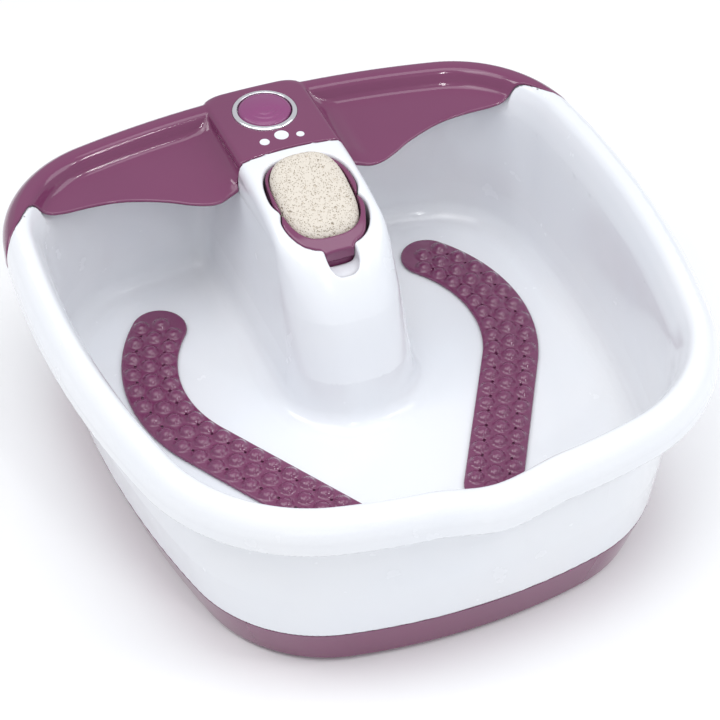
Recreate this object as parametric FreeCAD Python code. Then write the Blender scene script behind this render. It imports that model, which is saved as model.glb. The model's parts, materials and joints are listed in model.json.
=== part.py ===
"""Foot spa basin. Millimetres, +Z up, +Y to the back, origin on the floor under the middle."""

import FreeCAD
import Part
import math
import os

os.makedirs("parts", exist_ok=True)
V = FreeCAD.Vector
UP = V(0, 0, 1)

# ---------------------------------------------------------------- driving dimensions
RIM_HALF_WIDTH = 195.0
RIM_HALF_LENGTH = 197.6
CREST_Z = 148.0
SKIRT_Z = 125.0
WIDEST_Y = 40.4          # where the plan is widest, behind the middle
R_FRONT, R_SIDE, R_BACK = 394.0, 600.0, 578.0
R_FRONT_CORNER, R_BACK_CORNER = 113.0, 85.6
OVERHANG = 22.0          # from the top of the wall out to the rim's edge

PAN_BOTTOM_Z = 1.5
BAND_TOP_Z = 31.0        # purple pan below, white basin above
FLOOR_Z = 34.0
WALL = 3.0
PAN_WALL = 2.5
# z, half width, half length, front corner radius, back corner radius of the tapering body
BODY_LEVELS = [(1.5, 152.5, 163.8, 82.0, 70.0), (4.5, 156.2, 167.3, 85.0, 73.0),
               (31.0, 165.0, 173.4, 88.0, 76.0), (62.0, 169.5, 175.0, 91.0, 72.0),
               (124.0, 173.0, 175.6, 91.0, 63.6)]

POUR_LIP_HALF = 42.0     # the rim dips over this half width at the front
POUR_LIP_DROP = 7.0

CONSOLE_HALF = 34.5
CONSOLE_FRONT_Y = 121.9
CONSOLE_BACK_Y = 192.0
CONSOLE_TOP_Z = 149.0
GUARD_WALL = 2.5
TRAY_Z = 131.0
DECK_Z = 128.0           # platform of the basin under the console

BUTTON_Y = 167.4
BUTTON_RING_R = 20.9
BUTTON_R = 17.2
SWITCH_Y = 163.0
SWITCH_TOP_Z = 138.5

WELL_Y = 79.8
WELL_HALF = (29.2, 37.3)
WELL_FLOOR_Z = 110.0
NOTCH_HALF = (10.2, 12.0)
NOTCH_Y = 39.5
NOTCH_FLOOR_Z = 119.0
STONE_Y = 82.8
STONE_HALF = (24.6, 31.4)
STONE_TILT = 16.0
STONE_TOP_Z = 149.2
STONE_BASE_Z = 118.4

MOTOR_Y = 105.0
MOTOR_R = 18.0
MOTOR_Z = (31.2, 75.0)
SHAFT_R = 1.5
HOUSING_R = 42.0
HOUSING_Z = (8.0, 29.0)
IMPELLER_R = 33.0

STRIP_WIDTH = 36.0
STRIP_TIP = (46.0, -92.0)
STRIP_BEND = (104.0, 6.0)
STRIP_BEND_R = 95.0
STRIP_END_DEG = 40.0
NODE_PITCH = 13.0

GLAND_X = 65.0
GLAND_Z = 16.0
CORD_R = 3.6

FEET = [(-112.0, -122.0), (112.0, -122.0), (-108.0, 118.0), (108.0, 118.0)]
SCREWS = [(-122.0, -92.0), (122.0, -92.0), (-142.0, 30.0), (142.0, 30.0), (-96.0, 142.0), (96.0, 142.0)]

GROMMET = (-20.0, 150.0, 4.0)       # x, y, hole radius
GUARD_SCREWS = [(-26.0, 134.0), (26.0, 134.0)]
BLOWER_SCREWS = [(0.0, MOTOR_Y + 47.0), (-40.7, MOTOR_Y - 23.5), (40.7, MOTOR_Y - 23.5)]
BOARD_Z = 10.0
BOARD_POSTS = [(-36.0, 18.0), (12.0, 24.0), (-36.0, 52.0), (-8.0, 52.0)]
AIR_Z = 20.5             # height of the air line
MANIFOLD_Y = -5.0
MANIFOLD_R = 6.0
SPOUT_X = 30.0
SPOUT_R = 7.0


# ---------------------------------------------------------------- general helpers
def save(name, shape):
    if len(shape.Solids) == 1:
        shape = shape.Solids[0]
    shape.exportStep("parts/" + name + ".step")
    note = "" if shape.isValid() else "  NOT VALID"
    print("%-20s %2d solid(s) %10.0f mm3%s" % (name, len(shape.Solids), shape.Volume, note))


def cylinder(x, y, z0, z1, r):
    return Part.makeCylinder(r, z1 - z0, V(x, y, z0))


def box(x0, x1, y0, y1, z0, z1):
    return Part.makeBox(x1 - x0, y1 - y0, z1 - z0, V(x0, y0, z0))


def fuse(shapes):
    return shapes[0].multiFuse(shapes[1:]) if len(shapes) > 1 else shapes[0]


def arc_edge(centre, r, a0, a1, z):
    at = [V(centre[0] + r * math.cos(a), centre[1] + r * math.sin(a), z)
          for a in (a0, (a0 + a1) / 2, a1)]
    return Part.Arc(*at).toShape()


def line_edge(p, q):
    return Part.LineSegment(V(*p), V(*q)).toShape()


def prism(wire, z0, z1):
    """Extrudes a flat horizontal wire from z0 to z1."""
    face = Part.Face(wire)
    face.translate(V(0, 0, z0 - wire.BoundBox.ZMin))
    return face.extrude(V(0, 0, z1 - z0))


def oval(half, z, y, grow=0.0, power=2.5, points=20):
    """Superellipse wire about (0, y)."""
    pts = []
    for i in range(points):
        t = 2 * math.pi * i / points
        c, s = math.cos(t), math.sin(t)
        px = (half[0] + grow) * math.copysign(abs(c) ** (2 / power), c)
        py = (half[1] + grow) * math.copysign(abs(s) ** (2 / power), s)
        pts.append(V(px, y + py, z))
    curve = Part.BSplineCurve()
    curve.interpolate(pts, PeriodicFlag=True)
    return Part.Wire([curve.toShape()])


def oval_prism(half, y, z0, z1, grow=0.0):
    return prism(oval(half, z0, y, grow), z0, z1)


def tube_path(points, share=0.45):
    """Straight runs joined by tangent arcs that are as large as the runs allow."""
    pts = [V(*p) for p in points]
    edges = []
    start = pts[0]
    for a, b, c in zip(pts, pts[1:], pts[2:]):
        u, w = (a - b), (c - b)
        cut = share * min(u.Length, w.Length)
        u.normalize()
        w.normalize()
        turn = math.pi - u.getAngle(w)
        r = cut / math.tan(turn / 2)
        p, q = b + u * cut, b + w * cut
        middle = u + w
        middle.normalize()
        centre = b + middle * (r / math.cos(turn / 2))
        edges.append(Part.LineSegment(start, p).toShape())
        edges.append(Part.Arc(p, centre - middle * r, q).toShape())
        start = q
    edges.append(Part.LineSegment(start, pts[-1]).toShape())
    return Part.Wire(edges)


def tube(points, r, bore=0.0):
    path = tube_path(points)
    along = V(*points[1]) - V(*points[0])
    along.normalize()

    def rod(radius):
        ring = Part.Wire([Part.Circle(V(*points[0]), along, radius).toShape()])
        return path.makePipeShell([ring], True, True)
    return rod(r).cut(rod(bore)) if bore else rod(r)


# ---------------------------------------------------------------- plan outline of the rim and the body
def corner_centre(c1, r1, c2, r2, rc, lower):
    """Centre of the arc of radius rc that touches two larger circles from inside."""
    d1, d2 = r1 - rc, r2 - rc
    vx, vy = c2[0] - c1[0], c2[1] - c1[1]
    span = math.hypot(vx, vy)
    along = (d1 * d1 - d2 * d2 + span * span) / (2 * span)
    off = math.sqrt(max(d1 * d1 - along * along, 0.0))
    ux, uy = vx / span, vy / span
    found = [(c1[0] + ux * along - s * uy * off, c1[1] + uy * along + s * ux * off) for s in (1, -1)]
    return max(found, key=lambda c: c[0] + (-c[1] if lower else c[1]))


def outline_arcs(half_width, half_length, r_fc, r_bc, inset=0.0):
    """Eight tangent arcs (centre, radius, from, to), counterclockwise from the front arc."""
    r_front, r_side, r_back = R_FRONT - inset, R_SIDE - inset, R_BACK - inset
    front = (0.0, -half_length + r_front)
    back = (0.0, half_length - r_back)
    side = (half_width - r_side, WIDEST_Y)
    fc = corner_centre(front, r_front, side, r_side, r_fc, True)
    bc = corner_centre(back, r_back, side, r_side, r_bc, False)

    def angle(c, p):
        return math.atan2(p[1] - c[1], p[0] - c[0])
    a_front, a_side0 = angle(front, fc), angle(side, fc)
    a_side1, a_back = angle(side, bc), angle(back, bc)
    right = [(fc, r_fc, a_front, a_side0), (side, r_side, a_side0, a_side1), (bc, r_bc, a_side1, a_back)]
    left = [((-c[0], c[1]), r, math.pi - b, math.pi - a) for c, r, a, b in reversed(right)]
    middle_back = (back, r_back, a_back, math.pi - a_back)
    middle_front = (front, r_front, -math.pi - a_front, a_front)
    return [middle_front] + right + [middle_back] + left


RIM_ARCS = outline_arcs(RIM_HALF_WIDTH, RIM_HALF_LENGTH, R_FRONT_CORNER, R_BACK_CORNER)


def outline_wire(arcs, z, inset=0.0):
    return Part.Wire([arc_edge(c, r - inset, a, b, z) for c, r, a, b in arcs])


def body_wire(z, inset=0.0):
    levels = BODY_LEVELS
    i = max(k for k in range(len(levels) - 1) if levels[k][0] <= z or k == 0)
    low, high = levels[i], levels[i + 1]
    t = (z - low[0]) / (high[0] - low[0])
    size = [a + (b - a) * t for a, b in zip(low[1:], high[1:])]
    return outline_wire(outline_arcs(*size, OVERHANG), z, inset)


def body_solid(z_levels, inset=0.0):
    """Body loft; z_levels are heights, or (height, extra inset) pairs."""
    wires = []
    for level in z_levels:
        z, extra = level if isinstance(level, tuple) else (level, 0.0)
        wires.append(body_wire(z, inset + extra))
    return Part.makeLoft(wires, True, True)


# ---------------------------------------------------------------- rim: one section carried round the arcs
def section_wire(steps, place):
    """Closed section from steps ("L", end) or ("A", through, end); place maps (inset, z) to a point."""
    edges = []
    start = steps[0]
    for step in steps[1:]:
        if step[0] == "L":
            edges.append(Part.LineSegment(place(*start), place(*step[1])).toShape())
        else:
            edges.append(Part.Arc(place(*start), place(*step[1]), place(*step[2])).toShape())
        start = step[-1]
    edges.append(Part.LineSegment(place(*start), place(*steps[0])).toShape())
    return Part.Wire(edges)


def swept_arc(steps, arc, a0=None, a1=None):
    centre, r, b0, b1 = arc
    a0 = b0 if a0 is None else a0
    a1 = b1 if a1 is None else a1

    def place(inset, z):
        return V(centre[0] + (r - inset) * math.cos(a0), centre[1] + (r - inset) * math.sin(a0), z)
    face = Part.Face(section_wire(steps, place))
    return face.revolve(V(centre[0], centre[1], 0), UP, math.degrees(a1 - a0))


def lip_drop(x):
    """How far the rim dips at x, a smooth valley about the middle of the front."""
    return POUR_LIP_DROP * 0.5 * (1 + math.cos(math.pi * min(abs(x) / POUR_LIP_HALF, 1.0)))


def drop_share(inset, z):
    """The outside of the rim dips whole, its inner leg less and less down to the wall."""
    return 1.0 if inset < 14 else min(max((z - 124.0) / 14.0, 0.0), 1.0)


def dipped_front(steps, arc):
    """Front stretch of the rim, lowered in the middle as a pouring lip."""
    centre, r, b0, b1 = arc
    half = math.asin(POUR_LIP_HALF / r)
    a0, a1 = -math.pi / 2 - half, -math.pi / 2 + half
    sections = []
    count = 9
    for i in range(count):
        a = a0 + (a1 - a0) * i / (count - 1)
        x = centre[0] + r * math.cos(a)

        def place(inset, z, a=a, x=x):
            reach = r - inset
            down = lip_drop(x) * drop_share(inset, z)
            return V(centre[0] + reach * math.cos(a), centre[1] + reach * math.sin(a), z - down)
        sections.append(section_wire(steps, place))
    dip = Part.makeLoft(sections, True, False)
    return [swept_arc(steps, arc, b0, a0), dip, swept_arc(steps, arc, a1, b1)]


RIM_SECTION = [
    (0.0, SKIRT_Z), ("L", (0.0, 133.0)), ("A", (2.3, 142.6), (8.5, CREST_Z)), ("L", (12.0, CREST_Z)),
    ("A", (16.4, 146.2), (18.6, 142.0)), ("A", (22.8, 131.6), (24.8, 124.0)), ("L", (24.4, 121.0)),
    ("L", (22.6, 121.0)), ("L", (22.2, 124.0)), ("A", (20.0, 131.8), (15.9, 140.6)),
    ("A", (14.0, 144.0), (11.0, CREST_Z - WALL)),
    ("L", (9.3, CREST_Z - WALL)), ("A", (4.9, 140.8), (WALL, 133.0)), ("L", (WALL, SKIRT_Z))]


def wall_middle_y(z):
    """Y of a plane that stays inside the slightly curved back wall behind the tower."""
    low, high = (1, 2) if z <= 31.0 else (2, 3) if z <= 62.0 else (3, 4)
    t = min(max((z - BODY_LEVELS[low][0]) / (BODY_LEVELS[high][0] - BODY_LEVELS[low][0]), 0.0), 1.0)
    return BODY_LEVELS[low][2] * (1 - t) + BODY_LEVELS[high][2] * t - 1.9


def tower_plan(z, half, y_front, r, inset=0.0):
    """Straight sides to the back wall, a rounded front with a slightly crowned middle."""
    half, y_front, r = half - inset, y_front + inset, r - inset
    crown = 3.0
    y_tan = y_front + crown + r
    x_mid = half - r
    diag = r * math.sqrt(0.5)
    y_back = wall_middle_y(z) - (0.6 if inset > 0 else 0.0)
    right = Part.Arc(V(x_mid, y_front + crown, z), V(x_mid + diag, y_tan - diag, z), V(half, y_tan, z))
    left = Part.Arc(V(-half, y_tan, z), V(-x_mid - diag, y_tan - diag, z), V(-x_mid, y_front + crown, z))
    front = Part.Arc(V(-x_mid, y_front + crown, z), V(0, y_front, z), V(x_mid, y_front + crown, z))
    return Part.Wire([front.toShape(), right.toShape(), line_edge((half, y_tan, z), (half, y_back, z)),
                      line_edge((half, y_back, z), (-half, y_back, z)),
                      line_edge((-half, y_back, z), (-half, y_tan, z)), left.toShape()])


# z, half width, front y, corner radius
TOWER_LEVELS = [(31.0, 43.5, -14.0, 36.0), (64.0, 40.0, -6.0, 33.0), (100.0, 38.0, 10.0, 30.0),
                (132.0, 36.3, 28.0, 27.0), (152.0, 34.6, 40.0, 25.0)]


def tower_side(lower=0.0):
    """Side profile of the tower, extruded across X: sloping top, then the lower deck under the console."""
    step_y = CONSOLE_FRONT_Y - lower
    head = (-60, step_y, CONSOLE_TOP_Z - 1.05 * lower)
    top = Part.Arc(V(*head), V(-60, 78, 144.6 - lower), V(-60, 14, 119.0 - lower))
    corners = [(-60, 14, 119.0 - lower), (-60, -30, 92.0 - lower), (-60, -30, 20), (-60, 190, 20),
               (-60, 190, DECK_Z - lower), (-60, step_y, DECK_Z - lower), head]
    edges = [top.toShape()] + [line_edge(p, q) for p, q in zip(corners, corners[1:])]
    return Part.Face(Part.Wire(edges)).extrude(V(120, 0, 0))


def tower_solid(inset=0.0):
    bottom = BAND_TOP_Z - 1 if inset else BAND_TOP_Z
    levels = [(bottom,) + TOWER_LEVELS[0][1:]] + TOWER_LEVELS[1:]
    loft = Part.makeLoft([tower_plan(z, h, y, r, inset) for z, h, y, r in levels], True, True)
    return loft.common(tower_side(inset))


# ---------------------------------------------------------------- massage strips and their air channels
def strip_frame():
    """Centre of the bend and the angle at which the straight run meets it."""
    heading = math.atan2(STRIP_BEND[1] - STRIP_TIP[1], STRIP_BEND[0] - STRIP_TIP[0])
    centre = (STRIP_BEND[0] - STRIP_BEND_R * math.sin(heading),
              STRIP_BEND[1] + STRIP_BEND_R * math.cos(heading))
    return centre, heading


def strip_point(s, off):
    """Point at distance s along the strip, off to its outer side."""
    centre, heading = strip_frame()
    run = math.dist(STRIP_TIP, STRIP_BEND)
    if s <= run:
        return (STRIP_TIP[0] + s * math.cos(heading) + off * math.sin(heading),
                STRIP_TIP[1] + s * math.sin(heading) - off * math.cos(heading))
    a = heading - math.pi / 2 + (s - run) / STRIP_BEND_R
    return (centre[0] + (STRIP_BEND_R + off) * math.cos(a), centre[1] + (STRIP_BEND_R + off) * math.sin(a))


def strip_length():
    _, heading = strip_frame()
    turn = math.radians(STRIP_END_DEG) - heading + math.pi / 2
    return math.dist(STRIP_TIP, STRIP_BEND) + STRIP_BEND_R * turn


def strip_solid(width, z0, z1):
    """Right-hand strip shape: a straight run, a bend and two round ends."""
    centre, heading = strip_frame()
    half = width / 2
    run = math.dist(STRIP_TIP, STRIP_BEND)
    a0, a1 = heading - math.pi / 2, math.radians(STRIP_END_DEG)

    def at(s, off):
        return V(*strip_point(s, off), z0)
    end = strip_length()
    tip_in = V(STRIP_TIP[0] - half * math.cos(heading), STRIP_TIP[1] - half * math.sin(heading), z0)
    far = strip_point(end, 0)
    cap = V(far[0] - half * math.sin(a1), far[1] + half * math.cos(a1), z0)
    wire = Part.Wire([Part.LineSegment(at(0, half), at(run, half)).toShape(),
                      arc_edge(centre, STRIP_BEND_R + half, a0, a1, z0),
                      Part.Arc(at(end, half), cap, at(end, -half)).toShape(),
                      arc_edge(centre, STRIP_BEND_R - half, a1, a0, z0),
                      Part.LineSegment(at(run, -half), at(0, -half)).toShape(),
                      Part.Arc(at(0, -half), tip_in, at(0, half)).toShape()])
    return prism(wire, z0, z1)


def mirrored(shape):
    return shape.mirror(V(0, 0, 0), V(1, 0, 0))


def both_sides(name, shape):
    save(name + "_right", shape)
    save(name + "_left", mirrored(shape))


# ---------------------------------------------------------------- white basin
def guard_region(grow=0.0):
    """Plan area under the splash guard, from its wavy lip back past the rim."""
    lip = [(0.0, 118.0), (29.0, 118.0), (41.0, 115.5), (51.0, 111.8), (60.0, 112.6), (70.0, 116.8),
           (82.0, 123.3), (98.0, 129.6), (112.0, 133.2), (128.0, 134.2), (143.0, 133.4), (152.5, 133.8),
           (161.0, 136.0), (169.0, 131.5), (177.5, 121.0), (187.0, 110.5), (200.0, 92.0)]
    pts = [V(-x, y - grow, 0) for x, y in reversed(lip[1:])] + [V(x, y - grow, 0) for x, y in lip]
    curve = Part.BSplineCurve()
    curve.interpolate(pts)
    corners = [pts[-1], V(240, 92 - grow, 0), V(240, 240, 0), V(-240, 240, 0), V(-240, 92 - grow, 0), pts[0]]
    edges = [curve.toShape()] + [Part.LineSegment(a, b).toShape() for a, b in zip(corners, corners[1:])]
    return prism(Part.Wire(edges), 100.0, 160.0)


GUARD_SECTION = [
    (0.0, SKIRT_Z + 1), ("L", (0.0, 133.0)), ("A", (2.3, 142.6), (8.5, CREST_Z)), ("L", (12.0, CREST_Z)),
    ("A", (16.4, 146.2), (18.6, 142.0)), ("A", (20.4, 138.4), (25.0, 136.4)), ("L", (84.5, TRAY_Z - 0.4)),
    ("L", (84.5, TRAY_Z - 0.4 - GUARD_WALL)), ("L", (24.7, 136.4 - GUARD_WALL)),
    ("A", (18.3, 136.3), (16.3, 140.6)), ("A", (14.6, 143.9), (11.4, CREST_Z - GUARD_WALL)),
    ("L", (9.0, CREST_Z - GUARD_WALL)), ("A", (4.4, 141.0), (GUARD_WALL, 133.0)),
    ("L", (GUARD_WALL, SKIRT_Z + 1))]

# the rim steps in under the guard: its section there, and the room the guard needs outside it
UNDER_GUARD = [
    (1.5, SKIRT_Z), ("L", (1.5, 133.0)), ("A", (3.6, 141.7), (9.0, 146.5)), ("L", (11.5, 146.5)),
    ("A", (15.2, 145.1), (17.2, 141.3)), ("A", (20.6, 131.6), (23.8, 121.0)), ("L", (23.6, 117.0)),
    ("L", (22.9, 117.0)), ("L", (19.2, 124.0)), ("A", (16.8, 131.2), (12.9, 139.4)),
    ("A", (12.0, 141.3), (10.6, 142.3)), ("L", (9.6, 142.3)), ("A", (7.0, 138.8), (6.0, 133.0)),
    ("L", (6.0, SKIRT_Z))]

GUARD_ROOM = [
    (-3.0, SKIRT_Z - 0.4), ("L", (2.8, SKIRT_Z - 0.4)), ("L", (2.8, 133.0)),
    ("A", (4.75, 140.75), (9.2, 145.2)), ("L", (11.2, 145.2)),
    ("A", (14.3, 143.6), (16.0, 140.4)), ("A", (17.9, 135.9), (24.5, 133.5)), ("L", (38.0, 132.3)),
    ("L", (38.0, 156.0)), ("L", (-3.0, 156.0))]

RIM_FILL = [
    (2.65, SKIRT_Z - 20), ("L", (2.65, 133.0)), ("A", (4.6, 140.85), (9.1, 145.35)), ("L", (11.3, 145.35)),
    ("A", (14.45, 143.75), (16.15, 140.5)), ("A", (18.1, 136.1), (24.6, 133.7)),
    ("L", (26.0, 133.57)), ("L", (26.0, SKIRT_Z - 20))]


def rim_solid():
    front, *rest = RIM_ARCS
    rim = fuse(dipped_front(RIM_SECTION, front) + [swept_arc(RIM_SECTION, arc) for arc in rest])
    ledge = fuse([swept_arc(UNDER_GUARD, arc) for arc in rest[1:6]])
    return rim.cut(guard_region()).fuse(ledge.common(guard_region(4.0)))


def basin_tub():
    floor_round = [(FLOOR_Z, 14.0), (FLOOR_Z + 1.2, 8.4), (FLOOR_Z + 4.0, 4.2), (FLOOR_Z + 8.5, 1.2),
                   (FLOOR_Z + 14.0, 0.0)]
    shell = body_solid([BAND_TOP_Z, 62.0, 124.0]).cut(body_solid(floor_round + [62.0, 124.0], WALL))
    room = fuse([swept_arc(GUARD_ROOM, arc) for arc in RIM_ARCS[2:7]]).common(guard_region())
    shell = shell.fuse(rim_solid()).cut(room).cut(box(-33, 33, CONSOLE_FRONT_Y, 192.5, DECK_Z, 152))
    inside_rim = prism(outline_wire(RIM_ARCS, 90, 3.0), 90, 140)
    rear_deck = box(-36, 36, 168, 196, DECK_Z - WALL, DECK_Z).common(inside_rim)
    tongue = body_solid([27.5, BAND_TOP_Z + 0.5], 5.4).cut(body_solid([27.5, BAND_TOP_Z + 0.5], 7.4))
    tub = shell.fuse(tower_solid()).fuse(rear_deck).fuse(tongue)
    tub = tub.multiFuse([cylinder(x, y, 14.2, BAND_TOP_Z + 0.5, 4.5) for x, y in SCREWS])
    tub = tub.cut(tower_solid(WALL))
    cup = oval_prism(WELL_HALF, WELL_Y, WELL_FLOOR_Z - WALL, 160.0, WALL).common(tower_solid())
    tub = tub.fuse(cup).cut(oval_prism(WELL_HALF, WELL_Y, WELL_FLOOR_Z, 160.0))
    notch_cup = oval_prism(NOTCH_HALF, NOTCH_Y, NOTCH_FLOOR_Z - WALL, 160.0, WALL).common(tower_solid())
    notch_cup = notch_cup.cut(oval_prism(WELL_HALF, WELL_Y, WELL_FLOOR_Z, 160.0))
    tub = tub.fuse(notch_cup).cut(oval_prism(NOTCH_HALF, NOTCH_Y, NOTCH_FLOOR_Z, 160.0))
    for x, y in SCREWS:
        tub = tub.cut(cylinder(x, y, 14.0, 29.0, 2.05))
    for x, y, r in [GROMMET] + [(x, y, 1.8) for x, y in GUARD_SCREWS]:
        tub = tub.cut(cylinder(x, y, DECK_Z - 8, DECK_Z + 5, r))
    slot = strip_solid(24.0, BAND_TOP_Z - 2, FLOOR_Z + 2)
    return tub.cut(slot).cut(mirrored(slot))


# ---------------------------------------------------------------- purple splash guard with the raised console
def console_block(inset=0.0):
    """Raised block whose flanks fall in a hollow curve to the trays."""
    top = CONSOLE_TOP_Z - inset
    half = CONSOLE_HALF - inset
    y0, y1 = CONSOLE_FRONT_Y + 0.4 + inset, CONSOLE_BACK_Y - inset
    foot = TRAY_Z - inset
    low = TRAY_Z - GUARD_WALL - (14 if inset else 0)
    wide = 44.0 - inset
    flank = Part.Arc(V(half, y0, top - 4), V(half + 2.5, y0, top - 12.5), V(wide, y0, foot)).toShape()
    shoulder = Part.Arc(V(half - 4, y0, top), V(half - 1, y0, top - 1), V(half, y0, top - 4)).toShape()
    across = V(0, y0, 0), V(1, 0, 0)
    wire = Part.Wire([line_edge((-half + 4, y0, top), (half - 4, y0, top)), shoulder, flank,
                      line_edge((wide, y0, foot), (wide, y0, low)),
                      line_edge((wide, y0, low), (-wide, y0, low)),
                      line_edge((-wide, y0, low), (-wide, y0, foot)),
                      flank.mirror(*across), shoulder.mirror(*across)])
    return Part.Face(wire).extrude(V(0, y1 - y0, 0))


def splash_guard():
    ring = fuse([swept_arc(GUARD_SECTION, arc) for arc in RIM_ARCS[2:7]])
    plan = guard_region(-0.4)
    inside_rim = prism(outline_wire(RIM_ARCS, 90.0), 90, 160)
    guard = ring.common(plan).fuse(console_block().common(inside_rim).common(plan))
    guard = guard.cut(console_block(GUARD_WALL)).cut(tower_solid(-0.4))
    guard = guard.cut(swept_arc(RIM_FILL, RIM_ARCS[4]))
    guard = guard.cut(cylinder(0, BUTTON_Y, 120, 160, BUTTON_R + 2.1))
    for x, y in GUARD_SCREWS:
        guard = guard.fuse(cylinder(x, y, DECK_Z + 0.8, CONSOLE_TOP_Z - 1.0, 3.6))
        guard = guard.cut(cylinder(x, y, DECK_Z, DECK_Z + 12, 1.6))
    guard = guard.cut(cylinder(0, BUTTON_Y, CONSOLE_TOP_Z - 1.2, 160, BUTTON_RING_R + 0.1))
    return max(guard.Solids, key=lambda s: s.Volume)


def console_gasket():
    opening = box(-28, 28, 128.3, 173, DECK_Z, DECK_Z + 0.8)
    return box(-31, 31, 125.3, 176, DECK_Z, DECK_Z + 0.8).cut(opening)


# ---------------------------------------------------------------- toe button, its spring and switch
def turned(steps, x=0.0, y=0.0):
    """Solid of revolution about the vertical at (x, y) from a (radius, z) section."""
    face = Part.Face(section_wire(steps, lambda r, z: V(x + r, y, z)))
    return face.revolve(V(x, y, 0), UP, 360)


def button_ring():
    r0, r1 = BUTTON_R + 0.5, BUTTON_R + 1.9
    top = CONSOLE_TOP_Z + 1.0
    return turned([(r0, 143.0), ("L", (r0, top - 0.5)), ("A", (r0 + 0.7, top), (r0 + 1.6, top)),
                   ("A", (BUTTON_RING_R - 0.3, top - 0.4), (BUTTON_RING_R, CONSOLE_TOP_Z)),
                   ("L", (BUTTON_RING_R, CONSOLE_TOP_Z - 1.2)), ("L", (r1, CONSOLE_TOP_Z - 1.2)),
                   ("L", (r1, 143.0))], 0, BUTTON_Y)


def crown(r, z_edge, z_top):
    """Step of a section that rises in a sphere's arc from radius r to the axis."""
    rise = z_top - z_edge
    sphere = (r * r + rise * rise) / (2 * rise)
    return ("A", (r / 2, z_top - sphere + math.sqrt(sphere ** 2 - r * r / 4)), (0.0, z_top))


def toe_button():
    r = BUTTON_R
    dome = turned([(0.0, 143.5), ("L", (r, 143.5)), ("L", (r, 149.0)),
                   ("A", (r - 1.2, 150.4), (r - 3.5, 151.0)), crown(r - 3.5, 151.0, 152.6)], 0, BUTTON_Y)
    hollow = turned([(0.0, 140.0), ("L", (r - 1.8, 140.0)), ("L", (r - 1.8, 148.2)),
                     crown(r - 1.8, 148.2, 150.6)], 0, BUTTON_Y)
    return dome.cut(hollow).fuse(cylinder(0, SWITCH_Y, SWITCH_TOP_Z + 4.7, 151.0, 4.0))


def button_spring():
    helix = Part.makeHelix(2.3, 9.2, 5.6)
    helix.translate(V(0, SWITCH_Y, SWITCH_TOP_Z + 0.6))
    ring = Part.Wire([Part.Circle(V(5.6, SWITCH_Y, SWITCH_TOP_Z + 0.6), V(0, 1, 0.065), 0.45).toShape()])
    return Part.Wire(helix.Edges).makePipeShell([ring], True, True)


def switch_body():
    case = box(-8, 8, SWITCH_Y - 6.5, SWITCH_Y + 6.5, DECK_Z, SWITCH_TOP_Z)
    return case.cut(cylinder(0, SWITCH_Y, SWITCH_TOP_Z - 6, 150, 2.55))


save("basin_tub", basin_tub())
save("splash_guard", splash_guard())
save("console_gasket", console_gasket())
save("button_ring", button_ring())
save("toe_button", toe_button())
save("button_spring", button_spring())
save("switch_body", switch_body())
save("switch_plunger", cylinder(0, SWITCH_Y, SWITCH_TOP_Z - 2.5, SWITCH_TOP_Z + 4.5, 2.5))
save("guard_screws", Part.makeCompound([
    cylinder(x, y, DECK_Z - 5.4, DECK_Z - 3.0, 3.0).fuse(cylinder(x, y, DECK_Z - 3.0, DECK_Z + 9, 1.5))
    for x, y in GUARD_SCREWS]))
gx, gy, gr = GROMMET
save("deck_grommet", turned([
    (1.6, DECK_Z - 4.5), ("L", (gr + 1.6, DECK_Z - 4.5)), ("L", (gr + 1.6, DECK_Z - 3.0)),
    ("L", (gr, DECK_Z - 3.0)), ("L", (gr, DECK_Z)), ("L", (gr + 1.6, DECK_Z)),
    ("L", (gr + 1.6, DECK_Z + 1.5)), ("L", (1.6, DECK_Z + 1.5))], gx, gy))


# ---------------------------------------------------------------- pumice stone in its lift-out holder
def tilted_above(z_middle, tilt_deg):
    """Half space above a plane that falls to the front through (0, STONE_Y, z_middle)."""
    slab = Part.makeBox(120, 160, 60, V(-60, -80, 0))
    slab.rotate(V(0, 0, 0), V(1, 0, 0), tilt_deg)
    slab.translate(V(0, STONE_Y, z_middle))
    return slab


def stone_holder():
    body = oval_prism(WELL_HALF, WELL_Y, WELL_FLOOR_Z + 0.3, 150.0, -0.5).common(tower_side(1.2))
    body = body.cut(oval_prism(STONE_HALF, STONE_Y, STONE_BASE_Z, 160.0, 0.4))
    body = body.cut(oval_prism(WELL_HALF, WELL_Y, WELL_FLOOR_Z, STONE_BASE_Z - 2.0, -2.6))
    tab = oval_prism(NOTCH_HALF, NOTCH_Y, 124.0, 138.0, -1.0).common(box(-12, 12, 37.8, 47, 120, 140))
    tab = tab.common(tower_side(1.2))
    tab = tab.cut(oval_prism(STONE_HALF, STONE_Y, 120.0, 140.0, 0.4))
    return body.fuse(tab)


def pumice_stone():
    block = oval_prism(STONE_HALF, STONE_Y, STONE_BASE_Z, 170.0)
    block = block.cut(tilted_above(STONE_TOP_Z, STONE_TILT))
    rim = [e for e in block.Edges if e.BoundBox.ZMax > 130 and e.BoundBox.XLength > 20]
    return block.makeFillet(5.0, rim)


save("stone_holder", stone_holder())
save("pumice_stone", pumice_stone())


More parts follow.
